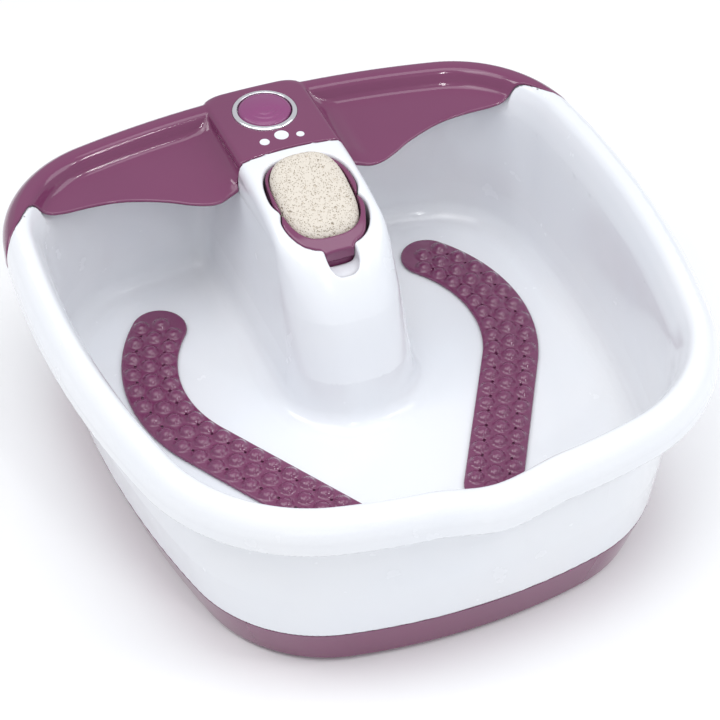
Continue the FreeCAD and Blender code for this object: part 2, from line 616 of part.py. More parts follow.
# ---------------------------------------------------------------- base pan, feet, screws, gland
def base_pan():
    pan = body_solid([PAN_BOTTOM_Z, 4.5, BAND_TOP_Z]).cut(body_solid([4.0, 4.5, BAND_TOP_Z + 1], PAN_WALL))
    pan = pan.multiFuse([cylinder(x, y, 3.0, 14.0, 5.4) for x, y in SCREWS])
    pan = pan.multiFuse([cylinder(x, y, 3.0, 8.0, 5.0) for x, y in BLOWER_SCREWS])
    pan = pan.multiFuse([cylinder(x, y, 3.0, BOARD_Z, 2.5) for x, y in BOARD_POSTS])
    pad = Part.makeCylinder(10.0, 8.5, V(GLAND_X, 160.0, GLAND_Z), V(0, 1, 0))
    pan = pan.fuse(pad)
    pan = pan.cut(Part.makeCylinder(6.6, 30.0, V(GLAND_X, 150.0, GLAND_Z), V(0, 1, 0)))
    for x, y in SCREWS:
        pan = pan.cut(cylinder(x, y, 0, 5.0, 4.4)).cut(cylinder(x, y, 4.0, 16.0, 2.3))
    for x, y in FEET:
        pan = pan.cut(cylinder(x, y, 0, 6, 4.0))
    for x, y in BLOWER_SCREWS:
        pan = pan.cut(cylinder(x, y, 3.6, 9, 1.7))
    for i in range(7):
        x = (i - 3) * 6.0
        pan = pan.cut(box(x - 1.5, x + 1.5, MOTOR_Y - 16, MOTOR_Y + 16, 0, 5))
    return pan


def cord_gland():
    y0, y1 = 156.0, 172.0
    along = V(0, 1, 0)
    body = Part.makeCylinder(6.5, y1 - y0, V(GLAND_X, y0, GLAND_Z), along)
    flange = Part.makeCylinder(9.0, 3.5, V(GLAND_X, 168.5, GLAND_Z), along)
    return body.fuse(flange).cut(Part.makeCylinder(CORD_R, y1 - y0 + 2, V(GLAND_X, y0 - 1, GLAND_Z), along))


def cord_clamp():
    saddle = box(GLAND_X - 11, GLAND_X + 11, 143, 149, 4.0, 22.5)
    return saddle.cut(Part.makeCylinder(CORD_R + 0.2, 10, V(GLAND_X, 141, GLAND_Z), V(0, 1, 0)))


def terminal_block():
    block = box(GLAND_X - 9, GLAND_X + 9, 118, 134, 4.0, 16.0)
    for x in (GLAND_X - 4.5, GLAND_X + 4.5):
        for y in (122.5, 129.5):
            block = block.cut(cylinder(x, y, 9.0, 17.0, 1.8))
    return block


save("base_pan", base_pan())
save("rubber_feet", Part.makeCompound([
    fuse([cylinder(x, y, 0.0, PAN_BOTTOM_Z, 9.0), cylinder(x, y, PAN_BOTTOM_Z, 4.0, 3.9),
          cylinder(x, y, 4.0, 5.6, 5.0)]) for x, y in FEET]))
save("base_screws", Part.makeCompound([cylinder(x, y, 2.2, 5.0, 4.1).fuse(cylinder(x, y, 5.0, 27.0, 2.0))
                                       for x, y in SCREWS]))
save("base_gasket", body_solid([29.3, BAND_TOP_Z], 2.8).cut(body_solid([29.3, BAND_TOP_Z], 5.1)))
save("cord_gland", cord_gland())
save("cord_clamp", cord_clamp())
save("terminal_block", terminal_block())


# ---------------------------------------------------------------- massage strips, seals, air channels
def bubble_strip():
    strip = strip_solid(STRIP_WIDTH, FLOOR_Z + 0.8, FLOOR_Z + 2.8)
    strip = strip.fuse(strip_solid(23.4, BAND_TOP_Z + 0.4, FLOOR_Z + 0.8))
    strip = strip.cut(strip_solid(20.0, BAND_TOP_Z, FLOOR_Z + 0.8))
    length = strip_length()
    domes, holes = [], []
    for off, first in ((-11.0, 3.0), (0.0, -3.5), (11.0, 3.0)):
        count = int((length - 2 * first) / NODE_PITCH) + 1
        gap = (length - 2 * first) / (count - 1)
        for i in range(count):
            x, y = strip_point(first + gap * i, off)
            domes.append(Part.makeSphere(5.6, V(x, y, FLOOR_Z + 0.6), UP, 12, 90, 360))
            if off and i < count - 1:
                hx, hy = strip_point(first + gap * (i + 0.5), off * 0.82)
                holes.append(cylinder(hx, hy, FLOOR_Z - 2, FLOOR_Z + 8, 0.9))
    return strip.multiFuse(domes).cut(Part.makeCompound(holes))


def air_channel():
    trough = strip_solid(30.0, 12.0, BAND_TOP_Z).cut(strip_solid(26.0, 14.0, BAND_TOP_Z + 1))
    return trough.cut(Part.makeCylinder(MANIFOLD_R + 0.05, 86.0, V(0, MANIFOLD_Y, AIR_Z), V(1, 0, 0)))


def air_manifold():
    reach = 84.0
    main = Part.makeCylinder(MANIFOLD_R, 2 * reach, V(-reach, MANIFOLD_Y, AIR_Z), V(1, 0, 0))
    stub = Part.makeCylinder(SPOUT_R, 27.0, V(SPOUT_X, MANIFOLD_Y, AIR_Z), V(0, 1, 0))
    bores = [Part.makeCylinder(MANIFOLD_R - 1.5, 2 * reach + 2, V(-reach - 1, MANIFOLD_Y, AIR_Z), V(1, 0, 0)),
             Part.makeCylinder(SPOUT_R - 1.5, 28.0, V(SPOUT_X, MANIFOLD_Y, AIR_Z), V(0, 1, 0))]
    return main.fuse(stub).cut(bores[0]).cut(bores[1])


def along_y(r, y0, y1):
    return Part.makeCylinder(r, y1 - y0, V(SPOUT_X, y0, AIR_Z), V(0, 1, 0))


both_sides("bubble_strip", bubble_strip())
both_sides("strip_gasket",
           strip_solid(34.0, FLOOR_Z, FLOOR_Z + 0.8).cut(strip_solid(25.0, FLOOR_Z, FLOOR_Z + 0.8)))
both_sides("air_channel", air_channel())
save("air_manifold", air_manifold())
save("check_valve", along_y(SPOUT_R, 25, 49).fuse(along_y(10.0, 31, 43)).cut(along_y(5.0, 24, 50)))
save("air_hoses", Part.makeCompound([along_y(8.6, 43, 66).cut(along_y(SPOUT_R + 0.05, 42, 67)),
                                     along_y(8.6, 13, 31).cut(along_y(SPOUT_R + 0.05, 12, 32))]))


# ---------------------------------------------------------------- blower
def blower_housing():
    z0, z1 = HOUSING_Z[0] + 2.0, HOUSING_Z[1]
    body = cylinder(0, MOTOR_Y, z0, z1, HOUSING_R)
    body = body.fuse(along_y(SPOUT_R, 56.0, 92.0))
    body = body.cut(cylinder(0, MOTOR_Y, z0 - 1, z1 - 2, HOUSING_R - 2)).cut(cylinder(0, MOTOR_Y, 5, 40, 5.0))
    body = body.cut(along_y(SPOUT_R - 1.5, 55.0, 93.0))
    inner = along_y(SPOUT_R, 76.0, 93.0).common(cylinder(0, MOTOR_Y, z0 - 1, z1 - 2, HOUSING_R - 2))
    return body.cut(inner)


def blower_cover():
    disc = cylinder(0, MOTOR_Y, HOUSING_Z[0], HOUSING_Z[0] + 2.0, HOUSING_R)
    ears = [cylinder(x, y, HOUSING_Z[0], HOUSING_Z[0] + 2.0, 5.5) for x, y in BLOWER_SCREWS]
    cover = disc.multiFuse(ears).cut(cylinder(0, MOTOR_Y, 7, 12, 14.0))
    for x, y in BLOWER_SCREWS:
        cover = cover.cut(cylinder(x, y, 7, 12, 1.8))
    return cover


def impeller():
    parts = [cylinder(0, MOTOR_Y, 12.5, 25.0, 6.0), cylinder(0, MOTOR_Y, 23.6, 25.0, IMPELLER_R)]
    for i in range(12):
        blade = Part.makeBox(22.0, 1.2, 10.4, V(0, -0.6, 0))
        blade.rotate(V(0, 0, 0), UP, 32)
        blade.translate(V(12.5, 0, 13.2))
        blade.rotate(V(0, 0, 0), UP, 30 * i)
        blade.translate(V(0, MOTOR_Y, 0))
        parts.append(blade.common(cylinder(0, MOTOR_Y, 13, 24, IMPELLER_R)))
    wheel = fuse(parts)
    return wheel.cut(cylinder(0, MOTOR_Y, 10, 30, SHAFT_R))


save("blower_housing", blower_housing())
save("blower_cover", blower_cover())
save("intake_filter", cylinder(0, MOTOR_Y, 4.0, HOUSING_Z[0], 24.0))
save("impeller", impeller())
save("blower_screws", Part.makeCompound([cylinder(x, y, 10, 12.6, 3.6).fuse(cylinder(x, y, 4.5, 10, 1.6))
                                         for x, y in BLOWER_SCREWS]))


# ---------------------------------------------------------------- blower motor
def motor_can():
    z0, z1 = MOTOR_Z
    can = cylinder(0, MOTOR_Y, z0, z1, MOTOR_R).cut(cylinder(0, MOTOR_Y, z0 + 1.2, z1 + 1, MOTOR_R - 1.2))
    return can.cut(cylinder(0, MOTOR_Y, z0 - 1, z0 + 2, 4.0))


def motor_end_cap():
    z1 = MOTOR_Z[1]
    cap = cylinder(0, MOTOR_Y, z1 - 3, z1, MOTOR_R - 1.25).fuse(cylinder(0, MOTOR_Y, z1 - 3, z1 + 2.0, 7.0))
    return cap.cut(cylinder(0, MOTOR_Y, z1 - 4, z1 + 3, 4.0))


def bush(z0, z1):
    return cylinder(0, MOTOR_Y, z0, z1, 4.0).cut(cylinder(0, MOTOR_Y, z0 - 1, z1 + 1, SHAFT_R + 0.04))


def motor_magnets():
    ring = cylinder(0, MOTOR_Y, 38, 62, MOTOR_R - 1.3).cut(cylinder(0, MOTOR_Y, 37, 63, 13.2))
    return ring.cut(box(-6, 6, MOTOR_Y - 20, MOTOR_Y + 20, 30, 70))


def armature_core():
    core = cylinder(0, MOTOR_Y, 40, 60, 12.4)
    for i in range(5):
        slot = box(5.5, 14, -1.3, 1.3, 39, 61)
        slot.rotate(V(0, 0, 0), UP, 72 * i)
        slot.translate(V(0, MOTOR_Y, 0))
        core = core.cut(slot)
    return core.cut(cylinder(0, MOTOR_Y, 39, 61, SHAFT_R))


save("motor_can", motor_can())
save("motor_end_cap", motor_end_cap())
save("motor_bushes", Part.makeCompound([bush(31.2, 36.0), bush(72.0, 76.6)]))
save("motor_magnets", Part.makeCompound(motor_magnets().Solids))
save("motor_shaft", cylinder(0, MOTOR_Y, 12.0, 79.0, SHAFT_R))
save("armature_core", armature_core())
save("commutator", cylinder(0, MOTOR_Y, 62, 70, 4.5).cut(cylinder(0, MOTOR_Y, 61, 71, SHAFT_R)))
save("motor_brushes", Part.makeCompound([box(4.9, 12, MOTOR_Y - 2, MOTOR_Y + 2, 64, 72),
                                         box(-12, -4.9, MOTOR_Y - 2, MOTOR_Y + 2, 64, 72)]))
save("motor_isolator", cylinder(0, MOTOR_Y, HOUSING_Z[1], MOTOR_Z[0], MOTOR_R).cut(
    cylinder(0, MOTOR_Y, 28, 33, 8.0)))


# ---------------------------------------------------------------- heater, control board and leads
HEATER_Y = (-140.0, -24.0)
ELEMENT_R = 3.0
ELEMENT_Z = BAND_TOP_Z - 2.0 - ELEMENT_R

save("heater_plate", box(-27, 27, HEATER_Y[0], HEATER_Y[1], BAND_TOP_Z - 2, BAND_TOP_Z))
save("heater_element", tube([(-14, -32, ELEMENT_Z), (-14, -126, ELEMENT_Z), (14, -126, ELEMENT_Z),
                             (14, -32, ELEMENT_Z)], ELEMENT_R))
save("thermostat", cylinder(0, -80, 19.0, BAND_TOP_Z - 2, 8.0))
save("thermal_fuse", Part.makeCylinder(2.0, 14.0, V(0, -58, BAND_TOP_Z - 4), V(0, 1, 0)))
save("control_board", box(-40, 16, 14, 56, BOARD_Z, BOARD_Z + 1.6))

board_top = BOARD_Z + 1.6
save("board_components", Part.makeCompound([
    box(-34, -12, 22, 40, board_top, board_top + 13), box(-6, 6, 36, 47, board_top, board_top + 10),
    cylinder(-2, 26, board_top, board_top + 12, 4.0), box(-30, -18, 45, 54, board_top, board_top + 6),
    box(0, 12, 49, 55, board_top, board_top + 6), box(-18, -10, 15, 20, board_top, board_top + 5.4),
    box(8, 15, 15, 20, board_top, board_top + 5.4), box(8, 15, 31, 37, board_top, board_top + 6)]))
save("motor_leads", tube([(10, MOTOR_Y, 75), (10, MOTOR_Y, 87), (27, 98, 84), (28, 86, 60), (22, 70, 36),
                          (8, 54, 32), (6, 52, 27), (6, 52, board_top + 6)], 1.2))
save("switch_leads", tube([(-24, 50, board_top + 6), (-24, 50, 30), (-24, 54, 38), (-27, 88, 44),
                           (-26, 128, 56), (gx, gy, 84), (gx, gy, 138), (-19, 160, 137), (-16, 163, 134),
                           (-8, 163, 134)], 1.2))
save("heater_leads", Part.makeCompound([
    tube([(x, -32, ELEMENT_Z), (x, -18, 28.4), (x, 3, 28.4), (end, 17, 26.0),
          (end, 17, board_top + 5.4)], 1.2) for x, end in ((-14, -14), (14, 11))]))
save("mains_leads", tube([(GLAND_X, 118, 11), (62, 95, 10), (56, 70, 8), (44, 46, 7.4), (26, 34, 7.4),
                          (19.5, 34, 13.6), (15, 34, 13.6)], 1.5))
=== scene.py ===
"""Foot spa basin: the finished surfaces, materials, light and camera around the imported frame.

Shapes are worked out in millimetres, +Z up and +Y to the back, and turned into metres when a mesh is made.
A shape is a field: a function of x, y, z that is negative inside the solid and close to the distance from it.
"""

import bpy
import json
import math

import numpy as np
from mathutils import Matrix, Vector


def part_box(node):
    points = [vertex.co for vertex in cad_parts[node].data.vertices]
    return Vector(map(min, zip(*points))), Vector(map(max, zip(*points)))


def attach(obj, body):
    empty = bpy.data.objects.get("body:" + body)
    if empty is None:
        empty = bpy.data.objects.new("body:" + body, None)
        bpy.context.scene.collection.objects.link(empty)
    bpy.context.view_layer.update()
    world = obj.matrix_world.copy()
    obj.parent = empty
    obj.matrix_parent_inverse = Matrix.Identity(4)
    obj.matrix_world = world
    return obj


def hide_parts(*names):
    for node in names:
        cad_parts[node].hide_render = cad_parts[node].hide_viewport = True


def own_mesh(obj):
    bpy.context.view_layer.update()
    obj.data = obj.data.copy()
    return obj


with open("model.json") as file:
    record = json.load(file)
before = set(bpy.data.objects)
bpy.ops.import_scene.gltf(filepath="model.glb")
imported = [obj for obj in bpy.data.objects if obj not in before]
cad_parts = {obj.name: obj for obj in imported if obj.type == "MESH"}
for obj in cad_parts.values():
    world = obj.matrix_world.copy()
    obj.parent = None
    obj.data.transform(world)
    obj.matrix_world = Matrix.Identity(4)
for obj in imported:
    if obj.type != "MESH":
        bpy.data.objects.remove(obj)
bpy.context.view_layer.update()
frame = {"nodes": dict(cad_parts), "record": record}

MM = 0.001


def extent(node):
    """Lowest and highest corner of a CAD node in millimetres."""
    low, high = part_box(node)
    return np.array(low) / MM, np.array(high) / MM


# ---------------------------------------------------------------- sizes
TUB_LOW, TUB_HIGH = extent("basin_tub")
_, GUARD_HIGH = extent("splash_guard")
BUTTON_LOW, BUTTON_HIGH = extent("toe_button")
RING_LOW, RING_HIGH = extent("button_ring")
STONE_LOW, STONE_HIGH = extent("pumice_stone")
HOLDER_LOW, HOLDER_HIGH = extent("stone_holder")
_, PAN_HIGH = extent("base_pan")
STRIP_LOW, STRIP_HIGH = extent("bubble_strip_right")
SPRING_LOW, SPRING_HIGH = extent("button_spring")

RIM_HALF_WIDTH = TUB_HIGH[0] - 0.1
RIM_HALF_LENGTH = -TUB_LOW[1] - 0.1
CREST_Z = 148.0
SKIRT_Z = 125.0
WALL_TOP_Z = 124.0
WALL = 3.0
OVERHANG = 22.0          # from the top of the wall out to the rim's edge
INSIDE_WALL = OVERHANG + WALL + 0.2
WIDEST_Y = 40.4
R_FRONT, R_SIDE, R_BACK = 394.0, 600.0, 578.0
R_FRONT_CORNER, R_BACK_CORNER = 113.0, 85.6
BAND_TOP_Z = PAN_HIGH[2]
FLOOR_Z = BAND_TOP_Z + WALL
FLOOR_ROUND = 14.0
# z, half width, half length, front corner radius, back corner radius of the tapering wall
BODY_LEVELS = np.array([(1.5, 152.5, 163.8, 82.0, 70.0), (4.5, 156.2, 167.3, 85.0, 73.0),
                        (31.0, 165.0, 173.4, 88.0, 76.0), (62.0, 169.5, 175.0, 91.0, 72.0),
                        (124.0, 173.0, 175.6, 91.0, 63.6)])

POUR_LIP_HALF = 42.0
POUR_LIP_DROP = 7.0

CONSOLE_HALF = 34.5
CONSOLE_TOP_Z = GUARD_HIGH[2]
CONSOLE_FRONT_Y = 121.9
CONSOLE_BOW = 4.0        # the seam between console and tower bows back in the middle
GUARD_WALL = 2.5
TRAY_Z = 131.0
DECK_Z = 128.0
SEAM = 0.4

# z, half width, front y, corner radius of the tower that carries the stone
TOWER_LEVELS = np.array([(31.0, 43.5, -14.0, 36.0), (64.0, 40.0, -6.0, 33.0), (100.0, 38.0, 10.0, 30.0),
                         (132.0, 36.3, 28.0, 27.0), (152.0, 34.6, 40.0, 25.0)])
TOWER_TOP = [(121.9, 149.0), (78.0, 144.6), (14.0, 119.0)]       # y, z along the sloping top

WELL_Y = 79.8
WELL_HALF = (29.2, 37.3)
WELL_FLOOR_Z = 110.0
NOTCH_HALF = (10.2, 12.0)
NOTCH_Y = 39.5
NOTCH_FLOOR_Z = 119.0
STONE_HALF = ((STONE_HIGH[0] - STONE_LOW[0]) / 2, (STONE_HIGH[1] - STONE_LOW[1]) / 2)
STONE_Y = (STONE_HIGH[1] + STONE_LOW[1]) / 2
STONE_TILT = math.radians(16.0)
STONE_TOP_Z = 149.2

BUTTON_Y = (BUTTON_HIGH[1] + BUTTON_LOW[1]) / 2
BUTTON_R = (BUTTON_HIGH[0] - BUTTON_LOW[0]) / 2
RING_R = (RING_HIGH[0] - RING_LOW[0]) / 2

STRIP_WIDTH = 36.0
STRIP_TIP = np.array([46.0, -92.0])
STRIP_BEND = np.array([104.0, 6.0])
STRIP_BEND_R = 95.0
STRIP_END = math.radians(40.0)
NODE_PITCH = 13.0

# plan points of the guard's wavy front lip, from the middle out
LIP = [(0.0, 118.0), (29.0, 118.0), (41.0, 115.5), (51.0, 111.8), (60.0, 112.6), (70.0, 116.8),
       (82.0, 123.3), (98.0, 129.6), (112.0, 133.2), (128.0, 134.2), (143.0, 133.4), (152.5, 133.8),
       (161.0, 136.0), (169.0, 131.5), (177.5, 121.0), (187.0, 110.5), (200.0, 92.0)]


# ---------------------------------------------------------------- joining fields
def smooth_min(a, b, k):
    h = np.maximum(k - np.abs(a - b), 0.0) / k
    return np.minimum(a, b) - h * h * k / 4


def smooth_max(a, b, k):
    return -smooth_min(-a, -b, k)


def between(value, start, end):
    """0 before start, 1 after end, and a smooth step in between."""
    t = np.clip((value - start) / (end - start), 0.0, 1.0)
    return t * t * (3 - 2 * t)


# ---------------------------------------------------------------- flat outlines and sections
def circle_through(a, b, c):
    """Centre and radius of the circle through three points."""
    (ax, ay), (bx, by), (cx, cy) = a, b, c
    d = 2 * (ax * (by - cy) + bx * (cy - ay) + cx * (ay - by))
    sa, sb, sc = ax * ax + ay * ay, bx * bx + by * by, cx * cx + cy * cy
    ox = (sa * (by - cy) + sb * (cy - ay) + sc * (ay - by)) / d
    oy = (sa * (cx - bx) + sb * (ax - cx) + sc * (bx - ax)) / d
    return ox, oy, math.hypot(ax - ox, ay - oy)


def arc_points(a, b, c, count=12):
    """Points after a on the arc from a through b to c."""
    ox, oy, r = circle_through(a, b, c)
    t0, t1, t2 = (math.atan2(py - oy, px - ox) for px, py in (a, b, c))
    turn = (t2 - t0) % (2 * math.pi)
    if (t1 - t0) % (2 * math.pi) > turn:
        turn -= 2 * math.pi
    return [(ox + r * math.cos(t0 + turn * i / count), oy + r * math.sin(t0 + turn * i / count))
            for i in range(1, count + 1)]


def outline_points(steps):
    """Polygon from a start and ("L", end) or ("A", through, end) steps."""
    points = [steps[0]]
    for step in steps[1:]:
        points += [step[1]] if step[0] == "L" else arc_points(points[-1], step[1], step[2])
    return points


def signed_distance(u, v, points):
    """Distance from (u, v) to a closed polygon, negative inside."""
    best = np.full(u.shape, 1e9)
    inside = np.zeros(u.shape, bool)
    for (au, av), (bu, bv) in zip(points, points[1:] + points[:1]):
        du, dv = bu - au, bv - av
        t = np.clip(((u - au) * du + (v - av) * dv) / (du * du + dv * dv + 1e-12), 0, 1)
        best = np.minimum(best, (u - au - t * du) ** 2 + (v - av - t * dv) ** 2)
        if av != bv:
            inside ^= ((av > v) != (bv > v)) & (u < du * (v - av) / dv + au)
    return np.where(inside, -1.0, 1.0) * np.sqrt(best)


class Table:
    """A flat shape's signed distance, kept on a fine grid and read off it."""

    def __init__(self, points, low, high, step):
        self.low, self.step = low, step
        u = np.arange(low[0], high[0] + step, step)
        v = np.arange(low[1], high[1] + step, step)
        grid_u, grid_v = np.meshgrid(u, v, indexing="ij")
        self.values = signed_distance(grid_u, grid_v, points).astype(np.float32)

    def __call__(self, u, v):
        last = self.values.shape
        fu = np.clip((u - self.low[0]) / self.step, 0, last[0] - 1.001)
        fv = np.clip((v - self.low[1]) / self.step, 0, last[1] - 1.001)
        i, j = fu.astype(np.int32), fv.astype(np.int32)
        fu, fv = fu - i, fv - j
        t = self.values
        return ((t[i, j] * (1 - fv) + t[i, j + 1] * fv) * (1 - fu)
                + (t[i + 1, j] * (1 - fv) + t[i + 1, j + 1] * fv) * fu)


def smooth_line(points, per_span=8):
    """A rounded line through the points."""
    p = np.array([points[0]] + list(points) + [points[-1]], float)
    out = []
    for i in range(1, len(p) - 2):
        for s in np.linspace(0, 1, per_span, endpoint=False):
            out.append(0.5 * (2 * p[i] + (p[i + 1] - p[i - 1]) * s
                              + (2 * p[i - 1] - 5 * p[i] + 4 * p[i + 1] - p[i + 2]) * s ** 2
                              + (3 * p[i] - p[i - 1] - 3 * p[i + 1] + p[i + 2]) * s ** 3))
    return [tuple(q) for q in out] + [tuple(p[-1])]


# ---------------------------------------------------------------- plan outline of the rim and the wall
def corner_centre(c1, r1, c2, r2, rc, side):
    """Centre of the arc of radius rc that touches two larger circles from inside.

    Side is -1 in front and 1 behind.
    """
    d1, d2 = r1 - rc, r2 - rc
    vx, vy = c2[0] - c1[0], c2[1] - c1[1]
    span = np.hypot(vx, vy)
    along = (d1 * d1 - d2 * d2 + span * span) / (2 * span)
    off = np.sqrt(np.maximum(d1 * d1 - along * along, 0.0))
    ux, uy = vx / span, vy / span
    first = c1[0] + ux * along - uy * off, c1[1] + uy * along + ux * off
    second = c1[0] + ux * along + uy * off, c1[1] + uy * along - ux * off
    use_first = first[0] + side * first[1] > second[0] + side * second[1]
    return tuple(np.where(use_first, a, b) for a, b in zip(first, second))


def outline(half_width, half_length, r_fc, r_bc, inset):
    """The arcs of the right half of a plan outline; sizes may be arrays over height."""
    r_front, r_side, r_back = R_FRONT - inset, R_SIDE - inset, R_BACK - inset
    front = (0.0 * half_width, r_front - half_length)
    back = (0.0 * half_width, half_length - r_back)
    side = (half_width - r_side, WIDEST_Y + 0.0 * half_width)
    fc = corner_centre(front, r_front, side, r_side, r_fc, -1)
    bc = corner_centre(back, r_back, side, r_side, r_bc, 1)
    return {"big": [(front, r_front), (side, r_side), (back, r_back)],
            "corners": [(fc, r_fc, front, side), (bc, r_bc, side, back)]}


def inset_from(x, y, arcs):
    """How far (x, y) lies inside an outline."""
    x = np.abs(x)
    d = np.full(x.shape, 1e9)
    for (cx, cy), r in arcs["big"]:
        d = np.minimum(d, r - np.hypot(x - cx, y - cy))
    for (cx, cy), r, (ax, ay), (bx, by) in arcs["corners"]:
        px, py = x - cx, y - cy
        within = ((cx - ax) * py - (cy - ay) * px > 0) & (px * (cy - by) - py * (cx - bx) > 0)
        d = np.where(within, r - np.hypot(px, py), d)
    return d


RIM_OUTLINE = outline(np.float64(RIM_HALF_WIDTH), RIM_HALF_LENGTH, R_FRONT_CORNER, R_BACK_CORNER, 0.0)
TABLE_Z = np.linspace(BODY_LEVELS[0, 0], WALL_TOP_Z, 60)
WALL_SIZES = (np.interp(TABLE_Z, BODY_LEVELS[:, 0], BODY_LEVELS[:, i]) for i in (1, 2, 3, 4))
WALL_OUTLINES = outline(*WALL_SIZES, OVERHANG)


def at_height(value, z):
    return np.interp(z, TABLE_Z, value) if np.ndim(value) else value


def wall_inset(x, y, z):
    """How far a point lies inside the wall's outer face at its height."""
    arcs = {"big": [((at_height(c[0], z), at_height(c[1], z)), r) for c, r in WALL_OUTLINES["big"]],
            "corners": [((at_height(c[0], z), at_height(c[1], z)), at_height(r, z),
                         (at_height(a[0], z), at_height(a[1], z)), (at_height(b[0], z), at_height(b[1], z)))
                        for c, r, a, b in WALL_OUTLINES["corners"]]}
    return inset_from(x, y, arcs)


def across_wall(x, y, z):
    """Section coordinate that follows the rim above and the tapering wall below."""
    rim = inset_from(x, y, RIM_OUTLINE)
    low = z < WALL_TOP_Z
    across = rim.copy()
    across[low] = wall_inset(x[low], y[low], z[low]) + OVERHANG
    return across


# ---------------------------------------------------------------- sections, as (inset from the rim's edge, z)
FAR = 200.0              # past the middle of the basin
CREST = [("L", (0.0, 133.0)), ("A", (2.3, 142.6), (8.5, CREST_Z))]
CREST_TO_WALL = [(12.0, CREST_Z), (15.0, 147.4), (17.4, 145.5), (19.3, 142.4), (21.3, 138.0), (22.9, 133.0),
                 (24.1, 128.5), (24.8, 124.0), (25.0, 118.0), (25.0, 112.0)]
CREST_TO_TRAY = CREST_TO_WALL[:4] + [(21.0, 139.4), (23.4, 137.2), (28.0, 136.0), (34.0, 135.3)]
BEND = 0.293 * FLOOR_ROUND
WALL_AND_FLOOR = [("L", (25.0, FLOOR_Z + FLOOR_ROUND)),
                  ("A", (25.0 + BEND, FLOOR_Z + BEND), (25.0 + FLOOR_ROUND, FLOOR_Z)),
                  ("L", (FAR, FLOOR_Z)), ("L", (FAR, BAND_TOP_Z)), ("L", (22.5, BAND_TOP_Z)),
                  ("L", (22.0, BAND_TOP_Z + 0.5)), ("L", (22.0, WALL_TOP_Z))]
UNDER_RIM = [("A", (19.9, 131.8), (15.9, 140.6)), ("A", (14.0, 144.0), (11.0, 145.0)), ("L", (9.3, 145.0)),
             ("A", (4.9, 140.8), (3.2, 133.0)), ("L", (4.0, SKIRT_Z + 2.0)),
             ("A", (2.0, SKIRT_Z), (0.0, SKIRT_Z + 2.0))]
TUB_SECTION = ([(0.0, SKIRT_Z + 2.0)] + CREST + [("L", p) for p in smooth_line(CREST_TO_WALL)]
               + WALL_AND_FLOOR + UNDER_RIM)
UNDER_GUARD = ([(2.8, SKIRT_Z), ("L", (2.8, 133.0)), ("A", (4.75, 140.75), (9.2, 145.2)),
                ("L", (11.2, 145.2)), ("A", (14.3, 143.6), (16.0, 140.4)),
                ("A", (17.2, 137.0), (19.2, 135.2)), ("L", (21.2, 133.4)),
                ("A", (23.4, 129.4), (25.0, WALL_TOP_Z))]
               + WALL_AND_FLOOR[:-1]
               + [("L", (22.0, 118.0)), ("L", (19.2, 124.0)), ("A", (16.8, 131.2), (12.9, 139.4)),
                  ("A", (12.0, 141.3), (10.6, 142.3)), ("L", (9.6, 142.3)), ("A", (7.0, 138.8), (6.0, 133.0)),
                  ("L", (6.0, SKIRT_Z))])
ENVELOPE = [(0.0, SKIRT_Z + 2.0), ("L", (0.0, 165.0)), ("L", (FAR, 165.0)), ("L", (FAR, BAND_TOP_Z)),
            ("L", (22.0, BAND_TOP_Z)), ("L", (22.0, WALL_TOP_Z))] + UNDER_RIM
GUARD_TOP = ([(0.0, 60.0)] + CREST + [("L", p) for p in smooth_line(CREST_TO_TRAY)]
             + [("L", (84.5, TRAY_Z - 0.4)), ("L", (FAR, TRAY_Z - 12.0)), ("L", (FAR, 60.0))])
CONSOLE_TOP = [(-60.0, CONSOLE_TOP_Z), ("L", (CONSOLE_HALF - 4, CONSOLE_TOP_Z)),
               ("A", (CONSOLE_HALF - 1.1, CONSOLE_TOP_Z - 1.1), (CONSOLE_HALF, CONSOLE_TOP_Z - 4)),
               ("A", (CONSOLE_HALF + 2.5, CONSOLE_TOP_Z - 12.5), (44.0, TRAY_Z)), ("L", (44.0, 60.0)),
               ("L", (-60.0, 60.0))]


def section_table(steps, low=(-12.0, 12.0), high=(95.0, 162.0), step=0.4):
    return Table(outline_points(steps), low, high, step)


tub_section = section_table(TUB_SECTION)
under_guard = section_table(UNDER_GUARD)
envelope = section_table(ENVELOPE)
guard_top = section_table(GUARD_TOP, (-12.0, 90.0), (120.0, 162.0))
console_top = section_table(CONSOLE_TOP, (0.0, 90.0), (80.0, 162.0))
lip_line = smooth_line(LIP)
guard_plan = Table(lip_line + [(260.0, 60.0), (260.0, 260.0), (-30.0, 260.0), (-30.0, 118.0)],
                   (0.0, 60.0), (210.0, 205.0), 0.5)


def from_lip(x, y, z, surface, off):
    """Distance past the guard's lip, measured square to a surface so that edges along the lip stay blunt."""
    plan = guard_plan(np.abs(x), y)
    near = (np.abs(plan) < 9.0) & (np.abs(off) < 4.5)
    if near.any():
        p = np.stack([x[near], y[near], z[near]], 1)
        foot = p - off[near][:, None] * gradient(surface, p, 0.4)
        plan[near] = guard_plan(np.abs(foot[:, 0]), foot[:, 1])
    return plan


# ---------------------------------------------------------------- parts of the tub
def pour_lip(x, y, across, z):
    """Height in the rim's section for a point, which the pouring lip lowers in the middle of the front."""
    drop = POUR_LIP_DROP * 0.5 * (1 + np.cos(np.pi * np.minimum(np.abs(x) / POUR_LIP_HALF, 1.0)))
    drop = np.where(y < 0, drop, 0.0)
    outer = z + drop
    inner = np.clip((z - WALL_TOP_Z) / (1 - drop / 14.0), 0.0, None) + WALL_TOP_Z
    inner = np.where(z < WALL_TOP_Z, z, np.minimum(inner, outer))
    return outer + (inner - outer) * between(across, 10.0, 18.0)


TOP_Y, TOP_Z, TOP_R = circle_through(*TOWER_TOP)


def console_seam(x):
    """Y of the seam between tower and console."""
    return CONSOLE_FRONT_Y + CONSOLE_BOW * np.clip(1 - (x / CONSOLE_HALF) ** 2, 0.0, 1.0)


